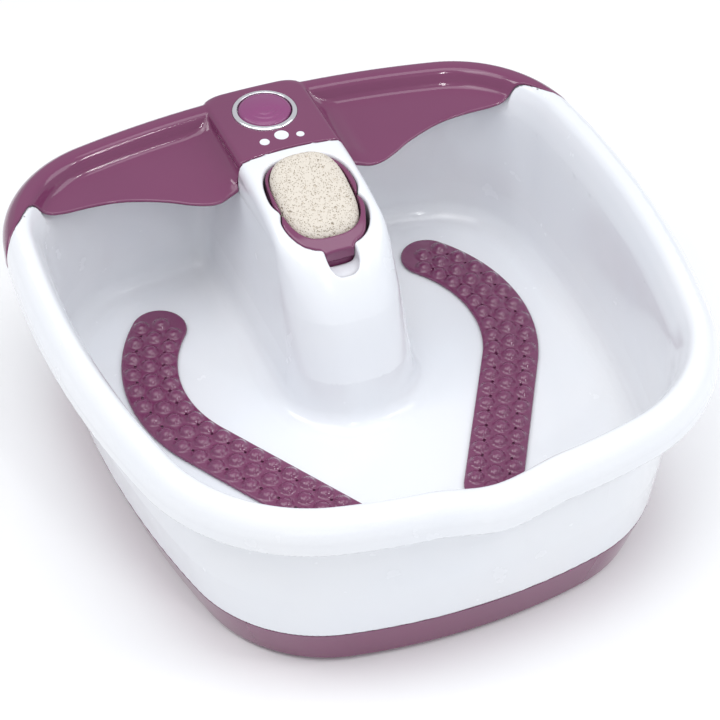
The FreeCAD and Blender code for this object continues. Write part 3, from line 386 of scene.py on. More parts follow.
def tower_side(x, y, z):
    half, front, r = (np.interp(z, TOWER_LEVELS[:, 0], TOWER_LEVELS[:, i]) for i in (1, 2, 3))
    out = np.abs(x) - (half - r)
    ahead = front + 3.0 * (x / half) ** 2 + r - y
    corner = np.hypot(np.maximum(out, 0), np.maximum(ahead, 0)) - r
    return np.where((out > 0) & (ahead > 0), corner, np.maximum(out, ahead) - r)


def tower_roof(y, z):
    return np.hypot(y - TOP_Y, z - TOP_Z) - TOP_R


def tower(x, y, z):
    edge = 7.0 + 10.0 * between(y, 62.0, 22.0)
    return smooth_max(tower_side(x, y, z), tower_roof(y, z), edge)


def console_space(x, y, z):
    """Room under the console, above the deck."""
    return np.maximum(np.maximum(np.abs(x) - 48.0, console_seam(x) - y), DECK_Z - z)


def oval(x, y, half, centre_y, power=2.5):
    """About the distance from a superellipse."""
    ax, ay = np.abs(x) / half[0] + 1e-6, np.abs(y - centre_y) / half[1] + 1e-6
    s = ax ** power + ay ** power
    f = s ** (1 / power)
    slope = f / s * np.hypot(ax ** (power - 1) / half[0], ay ** (power - 1) / half[1])
    return (f - 1) / np.maximum(slope, 0.4 / max(half))


def well_plan(x, y):
    """The well's outline, with a small bump in each long side that holds the stone's tray."""
    bump_y = np.where(x < 0, 74.0, 75.5)
    bump = 3.0 * np.exp(-np.abs((y - bump_y) / 5.0) ** 1.6)
    return oval(x, y, WELL_HALF, WELL_Y, 2.8) + bump


def strip_geometry():
    heading = math.atan2(*(STRIP_BEND - STRIP_TIP)[::-1])
    centre = STRIP_BEND + STRIP_BEND_R * np.array([-math.sin(heading), math.cos(heading)])
    return heading, centre, math.dist(STRIP_TIP, STRIP_BEND)


STRIP_HEADING, STRIP_CENTRE, STRIP_RUN = strip_geometry()
STRIP_TURN = STRIP_END - STRIP_HEADING + math.pi / 2
STRIP_LENGTH = STRIP_RUN + STRIP_BEND_R * STRIP_TURN


def strip_place(x, y):
    """Distance along the right-hand strip and off its middle line; the ends run on straight."""
    ux, uy = math.cos(STRIP_HEADING), math.sin(STRIP_HEADING)
    px, py = x - STRIP_TIP[0], y - STRIP_TIP[1]
    along, off = px * ux + py * uy, px * uy - py * ux
    qx, qy = x - STRIP_CENTRE[0], y - STRIP_CENTRE[1]
    angle = np.arctan2(qy, qx) - (STRIP_HEADING - math.pi / 2)
    bend = STRIP_RUN + STRIP_BEND_R * angle, np.hypot(qx, qy) - STRIP_BEND_R
    ex, ey = math.cos(STRIP_END), math.sin(STRIP_END)
    past = STRIP_LENGTH + (qy * ex - qx * ey), qx * ex + qy * ey - STRIP_BEND_R
    on_bend, on_end = along > STRIP_RUN, angle > STRIP_TURN
    return (np.where(on_bend, np.where(on_end, past[0], bend[0]), along),
            np.where(on_bend, np.where(on_end, past[1], bend[1]), off))


def strip_plan(x, y, width):
    s, off = strip_place(x, y)
    beyond = np.maximum(np.maximum(-s, s - STRIP_LENGTH), 0.0)
    return np.hypot(beyond, off) - width / 2


def tub_field(x, y, z):
    across = across_wall(x, y, z)
    dipped = pour_lip(x, y, across, z)
    section = tub_section(across, dipped)

    def inner_face(u, v, w):
        return tub_section(across_wall(u, v, w), w)
    plan = from_lip(x, y, z, inner_face, section)
    rim = smooth_max(section, -plan, 1.2)
    stepped = smooth_max(under_guard(across, z), plan - 5.0, 1.2)
    shell = np.minimum(rim, stepped)
    column = tower(x, y, z)
    space = console_space(x, y, z)
    fillet = 13.0 - 6.0 * between(z, 95.0, 125.0)
    inner_column = np.maximum(np.maximum(column, -space), 23.5 - across)
    body = smooth_min(shell, inner_column, fillet)
    body = np.maximum(body, np.minimum(envelope(across, dipped), shell))
    hollow = np.maximum(column + WALL, 3.0 - space)
    body = np.maximum(body, -np.maximum(hollow, INSIDE_WALL - across))
    well, notch = well_plan(x, y), oval(x, y, NOTCH_HALF, NOTCH_Y)
    cup = np.minimum(np.maximum(well - WALL, WELL_FLOOR_Z - WALL - z),
                     np.maximum(notch - WALL, NOTCH_FLOOR_Z - WALL - z))
    body = np.minimum(body, np.maximum(np.maximum(cup, column), -space))
    sunk = smooth_min(smooth_max(well, WELL_FLOOR_Z - z, 3.0), smooth_max(notch, NOTCH_FLOOR_Z - z, 5.0), 1.5)
    body = smooth_max(body, -sunk, 2.6)
    under_button = np.maximum(np.hypot(x, y - BUTTON_Y) - (BUTTON_R + 2.1), DECK_Z + 8.0 - z)
    return np.maximum(body, -np.minimum(np.maximum(space, INSIDE_WALL - across), under_button))


# ---------------------------------------------------------------- fields to meshes
def gradient(field, p, reach=0.08):
    g = np.zeros_like(p)
    for axis in range(3):
        step = np.zeros(3, p.dtype)
        step[axis] = reach
        g[:, axis] = (field(*(p + step).T) - field(*(p - step).T)) / (2 * reach)
    return g


def surface_net(field, low, high, step, block=4):
    """Vertices and quads of a field's surface: blocks far from the surface are skipped."""
    low, high = np.array(low, float), np.array(high, float)
    blocks = np.ceil((high - low) / (step * block)).astype(int)
    centres = [low[a] + step * block * (np.arange(blocks[a]) + 0.5) for a in range(3)]
    grid = np.meshgrid(*centres, indexing="ij")
    rough = field(*(g.ravel() for g in grid)).reshape(blocks)
    values = np.where(rough < 0, -1.0, 1.0).astype(np.float32)
    near = np.abs(rough) < step * block * 1.25
    for axis in range(3):
        values, near = (np.repeat(a, block, axis) for a in (values, near))
    wide = near.copy()
    for axis in range(3):
        grown = wide.copy()
        ahead = [slice(None)] * 3
        behind = [slice(None)] * 3
        ahead[axis], behind[axis] = slice(1, None), slice(None, -1)
        grown[tuple(ahead)] |= wide[tuple(behind)]
        wide = grown
    nodes = np.flatnonzero(wide)
    index = np.array(np.unravel_index(nodes, values.shape))
    flat = values.reshape(-1)
    for start in range(0, len(nodes), 400000):
        part = slice(start, start + 400000)
        p = low[:, None] + step * index[:, part]
        flat[nodes[part]] = field(*p)
    return net_faces(values, low, step)


def net_faces(values, low, step):
    shape = np.array(values.shape) - 1
    inside = values < 0
    corners = [(i, j, k) for i in (0, 1) for j in (0, 1) for k in (0, 1)]

    def shifted(a, c):
        return a[c[0]:c[0] + shape[0], c[1]:c[1] + shape[1], c[2]:c[2] + shape[2]]
    count = sum(shifted(inside, c).astype(np.uint8) for c in corners)
    cells = np.flatnonzero((count > 0) & (count < 8))
    i, j, k = np.unravel_index(cells, shape)
    at = {c: values[i + c[0], j + c[1], k + c[2]] for c in corners}
    total, hits = np.zeros((len(cells), 3)), np.zeros(len(cells))
    for c in corners:
        for axis in range(3):
            if c[axis]:
                continue
            e = tuple(v + (a == axis) for a, v in enumerate(c))
            a, b = at[c], at[e]
            crosses = (a < 0) != (b < 0)
            t = np.where(crosses, a / np.where(a == b, 1, a - b), 0)
            point = np.array(c, float)[None, :].repeat(len(cells), 0)
            point[:, axis] += t
            total += point * crosses[:, None]
            hits += crosses
    vertices = low + step * (np.stack([i, j, k], 1) + total / hits[:, None])
    number = np.full(int(np.prod(shape)), -1, np.int64)
    number[cells] = np.arange(len(cells))
    number = number.reshape(shape)
    quads = []
    for axis in range(3):
        b, c = (axis + 1) % 3, (axis + 2) % 3
        here, there = [slice(1, -1)] * 3, [slice(1, -1)] * 3
        here[axis], there[axis] = slice(0, -1), slice(1, None)
        first, second = inside[tuple(here)], inside[tuple(there)]
        cross = np.argwhere(first != second)
        spot = cross + 1
        spot[:, axis] -= 1
        out = first[tuple(cross.T)]
        ring = []
        for db, dc in ((-1, -1), (0, -1), (0, 0), (-1, 0)):
            cell = spot.copy()
            cell[:, b] += db
            cell[:, c] += dc
            ring.append(number[tuple(cell.T)])
        ring = np.stack(ring, 1)
        ring[~out] = ring[~out][:, ::-1]
        quads.append(ring)
    return vertices, np.concatenate(quads)


def polygons_to_mesh(name, vertices, faces):
    mesh = bpy.data.meshes.new(name)
    size = faces.shape[1]
    mesh.vertices.add(len(vertices))
    mesh.vertices.foreach_set("co", (vertices * MM).astype(np.float32).ravel())
    mesh.loops.add(faces.size)
    mesh.loops.foreach_set("vertex_index", faces.astype(np.int32).ravel())
    mesh.polygons.add(len(faces))
    mesh.polygons.foreach_set("loop_start", np.arange(0, faces.size, size, dtype=np.int32))
    mesh.update(calc_edges=True)
    return mesh


def add_object(name, mesh):
    item = bpy.data.objects.new(name, mesh)
    bpy.context.scene.collection.objects.link(item)
    return item


def field_object(name, field, low, high, step, most_triangles=None):
    """An object whose surface is the field's, with the field's own normals."""
    vertices, quads = surface_net(field, low, high, step)
    off = field(*vertices.T)
    for _ in range(2):
        slope = gradient(field, vertices)
        size = np.maximum((slope ** 2).sum(1), 0.5)
        moved = vertices - np.clip(off / size, -0.45 * step, 0.45 * step)[:, None] * slope
        off_there = field(*moved.T)
        better = np.abs(off_there) < 0.6 * np.abs(off)
        vertices[better], off[better] = moved[better], off_there[better]
    item = add_object(name, polygons_to_mesh(name, vertices, quads))
    if most_triangles and 2 * len(quads) > most_triangles:
        thin = item.modifiers.new("thin", "DECIMATE")
        thin.ratio = most_triangles / (2 * len(quads))
        bpy.context.view_layer.update()
        mesh = bpy.data.meshes.new_from_object(item.evaluated_get(bpy.context.evaluated_depsgraph_get()))
        item.modifiers.clear()
        item.data = mesh
    finish_normals(item.data, field)
    return item


def finish_normals(mesh, field):
    """Takes the field's direction as the normal, except on edges too fine for the mesh to follow."""
    at = np.empty(len(mesh.vertices) * 3, np.float32)
    mesh.vertices.foreach_get("co", at)
    own = np.empty(len(mesh.vertices) * 3, np.float32)
    mesh.vertices.foreach_get("normal", own)
    own = own.reshape(-1, 3).astype(float)
    normals = gradient(field, at.reshape(-1, 3).astype(float) / MM)
    normals /= np.maximum(np.linalg.norm(normals, axis=1), 1e-6)[:, None]
    trust = between((normals * own).sum(1), 0.80, 0.95)[:, None]
    normals = normals * trust + own * (1 - trust)
    normals /= np.maximum(np.linalg.norm(normals, axis=1), 1e-6)[:, None]
    mesh.shade_smooth()
    mesh.normals_split_custom_set_from_vertices(normals)


def dress(item, body, slot, *nodes):
    """Puts a finished piece on its body, in place of CAD nodes, with the material of its slot."""
    item.data.materials.append(MATERIALS[slot])
    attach(item, body)
    if nodes:
        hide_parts(*nodes)
    return item


# ---------------------------------------------------------------- materials
def plain(name, colour, **sockets):
    """Principled material; sockets are its inputs, with _ for a space."""
    material = bpy.data.materials.new(name)
    material.use_nodes = True
    shader = material.node_tree.nodes["Principled BSDF"]
    shader.inputs["Base Color"].default_value = (*colour, 1.0)
    for socket, value in sockets.items():
        shader.inputs[socket.replace("_", " ")].default_value = value
    return material


def noise(material, scale, detail=2.0, stretch=(1, 1, 1), kind="NOISE"):
    """Factor of a noise or cell texture in the object's own metres; scale is per metre."""
    nodes, links = material.node_tree.nodes, material.node_tree.links
    place = nodes.new("ShaderNodeTexCoord")
    mapping = nodes.new("ShaderNodeMapping")
    mapping.inputs["Scale"].default_value = stretch
    links.new(place.outputs["Object"], mapping.inputs["Vector"])
    if kind == "NOISE":
        texture = nodes.new("ShaderNodeTexNoise")
        texture.inputs["Detail"].default_value = detail
        out = texture.outputs["Fac"]
    else:
        texture = nodes.new("ShaderNodeTexVoronoi")
        out = texture.outputs["Distance"]
    texture.inputs["Scale"].default_value = scale
    links.new(mapping.outputs["Vector"], texture.inputs["Vector"])
    return out


def spread(material, factor, low, high, start=0.3, end=0.7):
    """A number that runs from low to high as factor runs from start to end."""
    ramp = material.node_tree.nodes.new("ShaderNodeMapRange")
    for socket, value in (("From Min", start), ("From Max", end), ("To Min", low), ("To Max", high)):
        ramp.inputs[socket].default_value = value
    material.node_tree.links.new(factor, ramp.inputs["Value"])
    return ramp.outputs["Result"]


def vary_colour(material, factor, first, second, start=0.3, end=0.7):
    nodes, links = material.node_tree.nodes, material.node_tree.links
    mix = nodes.new("ShaderNodeMix")
    mix.data_type = "RGBA"
    mix.inputs["A"].default_value = (*first, 1.0)
    mix.inputs["B"].default_value = (*second, 1.0)
    links.new(spread(material, factor, 0.0, 1.0, start, end), mix.inputs["Factor"])
    links.new(mix.outputs["Result"], nodes["Principled BSDF"].inputs["Base Color"])


def vary_roughness(material, factor, low, high):
    shader = material.node_tree.nodes["Principled BSDF"]
    material.node_tree.links.new(spread(material, factor, low, high), shader.inputs["Roughness"])


def bump(material, factor, height_mm, strength=1.0):
    """Adds surface relief of about height_mm on top of any relief the material already has."""
    nodes, links = material.node_tree.nodes, material.node_tree.links
    node = nodes.new("ShaderNodeBump")
    node.inputs["Strength"].default_value = strength
    node.inputs["Distance"].default_value = height_mm * MM
    links.new(factor, node.inputs["Height"])
    normal = nodes["Principled BSDF"].inputs["Normal"]
    if normal.is_linked:
        links.new(normal.links[0].from_socket, node.inputs["Normal"])
    links.new(node.outputs["Normal"], normal)


def moulded(name, colour, other, roughness, gloss=0.0, coat=0.0):
    """Injection-moulded plastic: faint flow marks, a fine spark-eroded texture and uneven polish."""
    material = plain(name, colour, Specular_IOR_Level=0.5 + gloss, Coat_Weight=coat, Coat_Roughness=0.06)
    vary_colour(material, noise(material, 9.0, 3.0), colour, other)
    vary_roughness(material, noise(material, 55.0, 4.0), roughness * 0.8, roughness * 1.25)
    bump(material, noise(material, 16.0, 1.0), 0.06, 0.25)
    bump(material, noise(material, 900.0, 1.0), 0.004, 0.15)
    return material


def white_plastic():
    return moulded("white_plastic", (0.80, 0.825, 0.865), (0.83, 0.84, 0.86), 0.22, coat=0.3)


def purple_plastic():
    return moulded("purple_plastic", (0.188, 0.045, 0.115), (0.170, 0.040, 0.105), 0.12, coat=0.3)


def button_plastic():
    return moulded("button_plastic", (0.26, 0.06, 0.18), (0.235, 0.055, 0.165), 0.32, coat=0.15)


def bright_ring():
    material = plain("bright_ring", (0.86, 0.86, 0.88), Metallic=0.9)
    vary_roughness(material, noise(material, 260.0, 3.0), 0.12, 0.22)
    bump(material, noise(material, 700.0, 2.0), 0.01, 0.3)
    return material


def pumice():
    """Pale porous stone: fine pores, each one a small hollow, with painted shade darkening each pore's
    middle.
    """
    material = plain("pumice", (0.65, 0.60, 0.52), Specular_IOR_Level=0.2)
    pore_hollows_and_shade = noise(material, 850.0, 0.0, kind="CELL")
    # painted shade: the colour darkens towards each pore's middle, where the hollow lies in shade
    vary_colour(material, pore_hollows_and_shade, (0.34, 0.28, 0.20), (0.70, 0.645, 0.565), 0.16, 0.36)
    vary_roughness(material, noise(material, 300.0, 3.0), 0.82, 0.96)
    bump(material, spread(material, pore_hollows_and_shade, 0.0, 1.0, 0.12, 0.36), 0.25, 0.8)
    bump(material, noise(material, 1500.0, 3.0), 0.12, 0.5)
    return material


def rubber(name, colour, other):
    material = plain(name, colour, Specular_IOR_Level=0.3)
    vary_colour(material, noise(material, 60.0, 4.0), colour, other)
    vary_roughness(material, noise(material, 140.0, 3.0), 0.6, 0.8)
    bump(material, noise(material, 2200.0, 2.0), 0.03, 0.5)
    return material


def metal(name, colour, low, high, stretch=(1, 1, 1)):
    """Bare metal with tool marks along one direction."""
    material = plain(name, colour, Metallic=1.0)
    marks = noise(material, 500.0, 3.0, stretch)
    vary_colour(material, noise(material, 45.0, 4.0), colour, tuple(0.82 * c for c in colour))
    vary_roughness(material, marks, low, high)
    bump(material, marks, 0.01, 0.4)
    return material


def clear_hose():
    material = plain("clear_hose", (0.82, 0.86, 0.88), Transmission_Weight=0.75, IOR=1.42)
    vary_roughness(material, noise(material, 90.0, 2.0), 0.18, 0.32)
    bump(material, noise(material, 240.0, 2.0), 0.05, 0.4)
    return material


def filter_foam():
    material = plain("filter_foam", (0.09, 0.09, 0.10), Specular_IOR_Level=0.2)
    vary_colour(material, noise(material, 900.0, 2.0), (0.03, 0.03, 0.035), (0.16, 0.16, 0.17))
    vary_roughness(material, noise(material, 400.0, 2.0), 0.88, 0.98)
    bump(material, noise(material, 700.0, 0.0, kind="CELL"), 0.6, 0.9)
    return material


def circuit_board():
    material = plain("board_green", (0.03, 0.16, 0.06), Specular_IOR_Level=0.5)
    tracks = noise(material, 300.0, 0.0, (1, 6, 1))
    vary_colour(material, tracks, (0.02, 0.12, 0.05), (0.05, 0.24, 0.09), 0.48, 0.52)
    vary_roughness(material, noise(material, 120.0, 2.0), 0.25, 0.4)
    bump(material, tracks, 0.03, 0.5)
    return material


MATERIALS = {
    "white_plastic": white_plastic(),
    "purple_plastic": purple_plastic(),
    "button_plastic": button_plastic(),
    "bright_ring": bright_ring(),
    "pumice": pumice(),
    "black_rubber": rubber("black_rubber", (0.025, 0.025, 0.027), (0.045, 0.045, 0.047)),
    "seal_rubber": rubber("seal_rubber", (0.32, 0.32, 0.34), (0.38, 0.38, 0.39)),
    "spring_steel": metal("spring_steel", (0.62, 0.63, 0.65), 0.2, 0.32),
    "screw_steel": metal("screw_steel", (0.55, 0.56, 0.58), 0.28, 0.42),
    "motor_steel": metal("motor_steel", (0.50, 0.50, 0.51), 0.3, 0.45, (1, 1, 12)),
    "aluminium_sheet": metal("aluminium_sheet", (0.78, 0.79, 0.80), 0.3, 0.42, (12, 1, 1)),
    "dark_plastic": moulded("dark_plastic", (0.03, 0.03, 0.033), (0.045, 0.045, 0.05), 0.42),
    "grey_plastic": moulded("grey_plastic", (0.30, 0.31, 0.33), (0.34, 0.35, 0.36), 0.4),
    "clear_hose": clear_hose(),
    "filter_foam": filter_foam(),
    "bronze": metal("bronze", (0.62, 0.40, 0.20), 0.3, 0.4),
    "copper": metal("copper", (0.80, 0.38, 0.22), 0.22, 0.35, (1, 1, 8)),
    "ferrite": rubber("ferrite", (0.07, 0.07, 0.075), (0.10, 0.10, 0.105)),
    "board_green": circuit_board(),
    "lead_jacket": rubber("lead_jacket", (0.55, 0.06, 0.05), (0.48, 0.05, 0.045)),
}


def finish_cad_nodes():
    """Gives every CAD node the finished material of its slot."""
    for part in frame["record"]["subparts"]:
        node = frame["nodes"][part["node"]]
        node.data.materials.clear()
        node.data.materials.append(MATERIALS[part["material_slot"]])


# ---------------------------------------------------------------- splash guard, button and ring
def guard_solid(x, y, z):
    """The guard's outer surface, filled in: rim, shallow trays and the raised console."""
    inset = inset_from(x, y, RIM_OUTLINE)
    front_edge = 1.6 + 9.0 * between(np.abs(x), CONSOLE_HALF - 0.5, CONSOLE_HALF + 6.0)
    block = smooth_max(console_top(np.abs(x), z), console_seam(x) + SEAM - y, front_edge)
    below_top = CONSOLE_TOP_Z - z
    corners = smooth_max(np.abs(x) - CONSOLE_HALF - 1.0 - 0.9 * below_top, 1.6 - inset, 16.0)
    block = smooth_max(block, corners, 4.0)
    blend = 0.3 + (10.7 - 9.4 * between(z, 138.0, 147.0)) * between(inset, 0.0, 14.0)
    return smooth_min(guard_top(inset, z), block, blend)


def guard_field(x, y, z):
    inset = inset_from(x, y, RIM_OUTLINE)
    solid = guard_solid(x, y, z)
    plan = from_lip(x, y, z, guard_solid, solid)
    shell = smooth_max(solid, -(solid + GUARD_WALL), 0.8)
    shell = smooth_max(shell, plan + SEAM, 1.6)
    shell = np.maximum(shell, -np.maximum(z - (SKIRT_Z + 1.0), inset - 12.0))
    column = np.maximum(tower(x, y, z), -console_space(x, y, z))
    shell = smooth_max(shell, SEAM - column, 0.6)
    from_button = np.hypot(x, y - BUTTON_Y)
    seat = np.maximum(from_button - (RING_R + 0.15), CONSOLE_TOP_Z - 1.2 - z)
    return smooth_max(shell, -np.minimum(seat, from_button - (BUTTON_R + 2.1)), 0.5)


def splash_guard():
    return field_object("splash_guard_shell", guard_field, (-198, 84, 119), (198, 200.5, 151), 0.95, 188000)


BUTTON_STEPS = [(0.0, 143.5), ("L", (BUTTON_R, 143.5)), ("L", (BUTTON_R, 148.6)),
                ("A", (BUTTON_R - 1.2, 150.3), (BUTTON_R - 3.6, 150.9)), ("A", (7.5, 152.1), (0.0, 152.5)),
                ("L", (-20.0, 152.5)), ("L", (-20.0, 143.5))]
button_section = Table(outline_points(BUTTON_STEPS), (-2.0, 138.0), (24.0, 156.0), 0.2)
RIDGES = (6.5, 10.0, 13.5)
STEM_Y = (SPRING_LOW[1] + SPRING_HIGH[1]) / 2


def button_field(x, y, z):
    """Domed cap with three raised arcs for a toe, hollow below, on a stem."""
    r = np.hypot(x, y - BUTTON_Y)
    cap = button_section(r, z)
    ahead = between(BUTTON_Y - y - 0.35 * np.abs(x), -2.0, 5.0)
    for ridge in RIDGES:
        cap = cap + 0.4 * ahead * (between(np.abs(r - ridge), 0.2, 1.5) - 0.4)
    hollow = np.maximum(cap + 1.9, r - BUTTON_R + 1.8)
    stem = np.maximum(np.hypot(x, y - STEM_Y) - 4.0, 143.2 - z)
    shell = smooth_max(cap, -np.minimum(hollow, np.maximum(r - BUTTON_R + 1.8, z - 145.0)), 0.4)
    return smooth_min(shell, smooth_max(stem, cap, 0.5), 0.8)


def ring_object():
    """Bright bezel turned from a rounded section, with a lip that sits on the console."""
    inner, foot = BUTTON_R + 0.5, BUTTON_R + 1.9
    top = RING_HIGH[2]
    steps = [(inner, RING_LOW[2]), ("L", (inner, top - 0.7)),
             ("A", (inner + 0.3, top - 0.15), (inner + 0.9, top)),
             ("A", (RING_R - 0.7, top - 0.35), (RING_R, CONSOLE_TOP_Z)), ("L", (RING_R, CONSOLE_TOP_Z - 1.1)),
             ("L", (foot, CONSOLE_TOP_Z - 1.1)), ("L", (foot, RING_LOW[2]))]
    return turned("button_bezel", outline_points(steps), 0.0, BUTTON_Y, 128)


def turned(name, section, centre_x, centre_y, around):
    """Closed (radius, z) section carried round a vertical axis."""
    section = np.array(section)
    count = len(section)
    angle = np.linspace(0, 2 * math.pi, around, endpoint=False)
    ring = section[:, 0][None, :]
    points = np.stack([centre_x + ring * np.cos(angle)[:, None], centre_y + ring * np.sin(angle)[:, None],
                       np.repeat(section[:, 1][None, :], around, 0)], 2).reshape(-1, 3)
    i, j = np.meshgrid(np.arange(around), np.arange(count), indexing="ij")
    i2, j2 = (i + 1) % around, (j + 1) % count
    faces = np.stack([i * count + j, i2 * count + j, i2 * count + j2, i * count + j2], 2).reshape(-1, 4)
    item = add_object(name, polygons_to_mesh(name, points, faces))
    item.data.shade_smooth()
    item.data.set_sharp_from_angle(angle=math.radians(40))
    return item


def spring_object():
    """Coil spring round the stem, with closed ends."""
    turns, wire = 4.0, 0.45
    radius = (SPRING_HIGH[0] - SPRING_LOW[0]) / 2 - wire
    low, high = SPRING_LOW[2] + wire, SPRING_HIGH[2] - wire
    curve = bpy.data.curves.new("button_coil", "CURVE")
    curve.dimensions = "3D"
    curve.bevel_depth = wire * MM
    curve.bevel_resolution = 3
    line = curve.splines.new("POLY")
    steps = 160
    line.points.add(steps)
    for n in range(steps + 1):
        t = n / steps
        rise = 0.5 * t + 0.5 * float(between(t, 0.0, 1.0))
        a = 2 * math.pi * turns * t
        place = Vector((radius * math.cos(a), STEM_Y + radius * math.sin(a), low + (high - low) * rise))
        line.points[n].co = (*(place * MM), 1.0)
    holder = add_object("button_coil_line", curve)
    bpy.context.view_layer.update()
    mesh = bpy.data.meshes.new_from_object(holder.evaluated_get(bpy.context.evaluated_depsgraph_get()))
    bpy.data.objects.remove(holder)
    mesh.shade_smooth()
    return add_object("button_coil", mesh)


def bubble_mark():
    """Three printed dots, rising like bubbles, on the front of the console."""
    dots = [(-12.0, 136.5, 3.2), (0.5, 139.3, 4.6), (12.0, 136.0, 2.6)]
    meshes = []
    for n, (x, y, r) in enumerate(dots):
        edge = outline_points([(0.01, CONSOLE_TOP_Z - 0.4), ("L", (r, CONSOLE_TOP_Z - 0.4)),
                               ("L", (r, CONSOLE_TOP_Z + 0.05)),
                               ("A", (r - 0.06, CONSOLE_TOP_Z + 0.15), (r - 0.2, CONSOLE_TOP_Z + 0.18)),
                               ("L", (0.01, CONSOLE_TOP_Z + 0.18))])
        meshes.append(turned(f"bubble_mark_{n + 1}", edge, x, y, 48))
    return meshes


# ---------------------------------------------------------------- pumice stone and its tray
def stone_plan(x, y):
    return oval(x, y, STONE_HALF, STONE_Y, 2.9)


def tray_plan(x, y):
    """The tray's outline: it leaves a gap to the well at the left behind and at the right in front."""
    slack = 0.6 + 1.6 * np.exp(-(((x + 27) / 9) ** 2 + ((y - 92) / 13) ** 2))
    slack = slack + 1.8 * np.exp(-(((x - 25) / 9) ** 2 + ((y - 58) / 10) ** 2))
    return well_plan(x, y) + slack


def tray_field(x, y, z):
    roof = tower_roof(y, z) + 1.3
    tab_end = 41.0 + 0.8 * (1 - (x / 8.8) ** 2) - y
    tab = smooth_max(np.abs(x) - 8.9 - 0.08 * np.maximum(y - 38.0, 0.0), tab_end, 1.0)
    tab = np.maximum(np.maximum(tab, y - 50.0), 125.0 - z)
    body = np.maximum(tray_plan(x, y), HOLDER_LOW[2] - z)
    outer = smooth_max(smooth_min(body, tab, 5.0), roof, 1.4)
    pocket = np.maximum(stone_plan(x, y) - 0.5, STONE_LOW[2] - z)
    below = np.maximum(well_plan(x, y) + 3.2, z - (STONE_LOW[2] - 2.0))
    return smooth_max(outer, -np.minimum(pocket, below), 0.8)


def scatter(i, j, k, seed):
    """A repeatable random number from 0 to 1 for each cell."""
    value = np.sin(i * 127.1 + j * 311.7 + k * 74.7 + seed * 53.3) * 43758.5453
    return value - np.floor(value)


def pits(x, y, z, cell, smallest, largest, share):
    """Distance to scattered round pits, one at most in each cell."""
    ci, cj, ck = np.floor(x / cell), np.floor(y / cell), np.floor(z / cell)
    best = np.full(x.shape, 1e3)
    for di in (-1, 0, 1):
        for dj in (-1, 0, 1):
            for dk in (-1, 0, 1):
                i, j, k = ci + di, cj + dj, ck + dk
                px, py, pz = ((c + 0.15 + 0.7 * scatter(i, j, k, s)) * cell for s, c in enumerate((i, j, k)))
                r = smallest + (largest - smallest) * scatter(i, j, k, 3) ** 2
                there = scatter(i, j, k, 4) < share
                d = np.sqrt((x - px) ** 2 + (y - py) ** 2 + (z - pz) ** 2) - r
                best = np.where(there, np.minimum(best, d), best)
    return best


def stone_solid(x, y, z):
    top = (z - STONE_TOP_Z - math.tan(STONE_TILT) * (y - STONE_Y)) * math.cos(STONE_TILT)
    top = top + 1.6 * (x / STONE_HALF[0]) ** 2 + 1.2 * ((y - STONE_Y) / STONE_HALF[1]) ** 2
    return smooth_max(smooth_max(stone_plan(x, y), top, 9.0), STONE_LOW[2] - z, 4.0)


def stone_field(x, y, z):
    solid = stone_solid(x, y, z)
    rough = 0.10 * np.sin(1.9 * x + 0.7 * y) * np.sin(1.7 * y - 0.9 * z) * np.sin(2.1 * z + 0.6 * x)
    near = np.abs(solid) < 3.0
    holes = np.full(x.shape, 1e3)
    p = np.stack([x[near], y[near], z[near]], 1)
    depth = -solid[near]
    skin = (p + depth[:, None] * gradient(stone_solid, p, 0.2)).T
    holes[near] = np.minimum(np.maximum(pits(*skin, 1.9, 0.25, 0.75, 0.75), depth - 0.7),
                             np.maximum(pits(*skin, 4.6, 0.6, 1.25, 0.5), depth - 1.2))
    return smooth_max(solid + rough, -holes, 0.35)


# ---------------------------------------------------------------- massage strips
STRIP_ROWS = ((-11.0, 3.0), (0.0, -3.5), (11.0, 3.0))       # off the middle line, first node's distance


def strip_spot(s, off):
    """Plan place at distance s along the right-hand strip."""
    run = np.minimum(s, STRIP_RUN)
    ux, uy = math.cos(STRIP_HEADING), math.sin(STRIP_HEADING)
    straight = STRIP_TIP[0] + run * ux + off * uy, STRIP_TIP[1] + run * uy - off * ux
    a = STRIP_HEADING - math.pi / 2 + (s - STRIP_RUN) / STRIP_BEND_R
    r = STRIP_BEND_R + off
    bend = STRIP_CENTRE[0] + r * np.cos(a), STRIP_CENTRE[1] + r * np.sin(a)
    return tuple(np.where(s > STRIP_RUN, b, c) for b, c in zip(bend, straight))


def strip_field(x, y, z):
    """Soft ribbon of three staggered rows of round nodes, with air holes between them."""
    s, _ = strip_place(x, y)
    top, low = STRIP_BASE + 2.0, STRIP_BASE
    plate = smooth_max(strip_plan(x, y, STRIP_WIDTH), z - top, 1.6)
    plate = np.maximum(plate, low - z)
    nodes, holes = np.full(x.shape, 1e3), np.full(x.shape, 1e3)
    for off, first in STRIP_ROWS:
        count = int((STRIP_LENGTH - 2 * first) / NODE_PITCH)
        gap = (STRIP_LENGTH - 2 * first) / count
        nearest = np.clip(np.round((s - first) / gap), 0, count)
        px, py = strip_spot(first + gap * nearest, off)
        nodes = np.minimum(nodes, np.sqrt((x - px) ** 2 + (y - py) ** 2 + (z - low + 0.2) ** 2) - 5.6)
        if off:
            nearest = np.clip(np.round((s - first) / gap - 0.5), 0, count - 1)
            px, py = strip_spot(first + gap * (nearest + 0.5), off * 0.82)
            holes = np.minimum(holes, np.hypot(x - px, y - py) - 0.9)
    boss = np.maximum(strip_plan(x, y, 23.4), np.maximum(STRIP_LOW[2] - z, z - low))
    inside = np.maximum(strip_plan(x, y, 20.0), z - low)
    body = np.minimum(smooth_min(plate, np.maximum(nodes, low - z), 1.6), boss)
    return smooth_max(body, -np.minimum(inside, holes), 0.4)


STRIP_BASE = FLOOR_Z + 0.8


